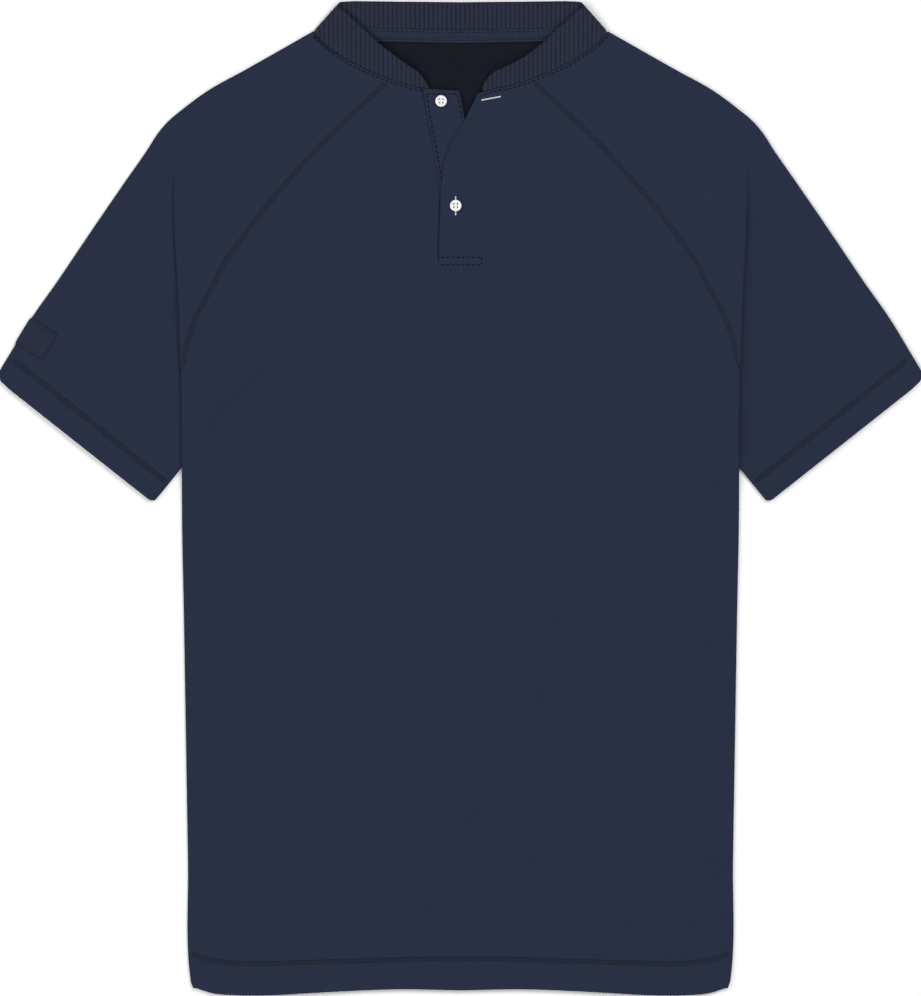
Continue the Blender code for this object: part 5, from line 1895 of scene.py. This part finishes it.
class SHIRT_OT_buttons(bpy.types.Operator):
    """Make both buttons, with their thread and buttonholes."""

    bl_idname = "shirt.buttons"
    bl_label = "Buttons and buttonholes"

    def execute(self, context):
        white = context.scene.shirt_trim.button
        resin = polished_resin("polished_polyester_resin", times(white, 0.9), white)
        thread = thread_finish(context, "white")
        on_band, on_flap = button_heights()
        for word, place, height in (("top", TOP_BUTTON, on_band), ("lower", LOWER_BUTTON, on_flap)):
            keep(make_button(f"{word}_button", place, height, [resin]), f"button_{word}")
            keep(button_thread(f"{word}_button_thread", place, height, [thread]), None)
        for word, ends in (("open", OPEN_BUTTONHOLE), ("closed", CLOSED_BUTTONHOLE)):
            keep(buttonhole(f"{word}_buttonhole", ends, cloth_top, [thread]), None)
        return {"FINISHED"}


class SHIRT_OT_stitching(bpy.types.Operator):
    """Make the topstitching and the flat seams' coverstitching."""

    bl_idname = "shirt.stitching"
    bl_label = "Stitching"

    def execute(self, context):
        dark = thread_finish(context, "dark")
        navy = thread_finish(context, "navy")
        neck, band, tape = neck_stitch_lines(), placket_stitch_lines(), tape_stitch_lines()
        box = np.array(FOOT_BOX)
        foot = [box[:2], box[1:3], box[2:]]
        raglan = RAGLAN_LINE[RAGLAN_LINE[:, 1] > RAGLAN_STITCH_FOOT_Y]
        raglan = mirrored(raglan[run_of(raglan) > RAGLAN_STITCH_START])
        cuffs = mirrored(evenly(SLEEVE_HEM_LINE, CUFF_STITCH_STEP)[1:-1])
        half = smooth_line(BODY_HEM)
        hem = np.concatenate([half[::-1] * [LEFT, 1], half[1:]])
        keep(topstitches("neck_topstitch", neck, cloth_top, dark), None)
        keep(topstitches("band_topstitch", band, band_top, dark), None)
        keep(topstitches("foot_topstitch", foot, cloth_top, dark), None)
        keep(topstitches("tape_topstitch", tape, tape_top, dark, TAPE_STITCH_RADIUS), None)
        keep(coverstitches("raglan_coverstitch", raglan, cloth_top, navy), None)
        keep(coverstitches("cuff_coverstitch", cuffs, cloth_top, navy), None)
        keep(coverstitches("hem_coverstitch", [hem], cloth_top, navy), None)
        return {"FINISHED"}


class SHIRT_OT_studio(bpy.types.Operator):
    """Make the floor, the lights and the camera."""

    bl_idname = "shirt.studio"
    bl_label = "Studio"

    def execute(self, context):
        studio = context.scene.shirt_studio
        bpy.ops.mesh.primitive_plane_add(size=FLOOR_SIZE, location=(0, 0, 0))
        floor = context.object
        floor.name = "floor"
        floor.data.materials.append(painted_board("painted_board", linear("#F4F4F4"), linear("#FAFAFA")))
        for name, place, size, share in LIGHTS:
            add_light(name, place, size, studio.key_power * share)
        world = bpy.data.worlds.new("pale_room")
        world.use_nodes = True
        room = world.node_tree.nodes["Background"].inputs
        room[0].default_value = ROOM_COLOUR
        room[1].default_value = ROOM_LIGHT
        context.scene.world = world
        context.scene.view_settings.view_transform = "Standard"
        data = bpy.data.cameras.new("camera")
        data.lens = studio.lens
        data.sensor_width = SENSOR_WIDTH
        camera = bpy.data.objects.new("camera", data)
        camera.location = (0, 0, studio.camera_height)
        context.scene.collection.objects.link(camera)
        context.scene.camera = camera
        return {"FINISHED"}


def add_light(name, place, size, power):
    """A square soft light that faces the shirt."""
    data = bpy.data.lights.new(name, "AREA")
    data.shape = "SQUARE"
    data.size = size
    data.energy = power
    light = bpy.data.objects.new(name, data)
    light.location = place
    aim = unit(np.array(place))
    light.rotation_euler = (math.acos(aim[2]), 0, math.atan2(aim[0], -aim[1]))
    bpy.context.scene.collection.objects.link(light)


class SHIRT_PT_panel(bpy.types.Panel):
    """Sizes, colours and pieces of the shirt."""

    bl_idname = "SHIRT_PT_panel"
    bl_label = "Polo shirt"
    bl_space_type = "VIEW_3D"
    bl_region_type = "UI"
    bl_category = "Polo shirt"

    def draw(self, context):
        for group in (context.scene.shirt_cloth, context.scene.shirt_trim, context.scene.shirt_studio):
            for name in group.bl_rna.properties.keys():
                if name not in ("rna_type", "name"):
                    self.layout.prop(group, name)
        for step in STEPS:
            self.layout.operator(step.bl_idname)


GROUPS = {"shirt_cloth": ShirtCloth, "shirt_trim": ShirtTrim, "shirt_studio": StudioSettings}
STEPS = (
    SHIRT_OT_back,
    SHIRT_OT_front,
    SHIRT_OT_sleeves,
    SHIRT_OT_collar,
    SHIRT_OT_placket,
    SHIRT_OT_label,
    SHIRT_OT_buttons,
    SHIRT_OT_stitching,
    SHIRT_OT_studio,
)


def register():
    for kind in (*GROUPS.values(), *STEPS, SHIRT_PT_panel):
        bpy.utils.register_class(kind)
    for name, kind in GROUPS.items():
        setattr(bpy.types.Scene, name, bpy.props.PointerProperty(type=kind))


def unregister():
    for name in GROUPS:
        delattr(bpy.types.Scene, name)
    for kind in (SHIRT_PT_panel, *STEPS[::-1], *list(GROUPS.values())[::-1]):
        bpy.utils.unregister_class(kind)


def main():
    register()
    for step in STEPS:
        group, name = step.bl_idname.split(".")
        getattr(getattr(bpy.ops, group), name)()


if __name__ == "__main__":
    main()
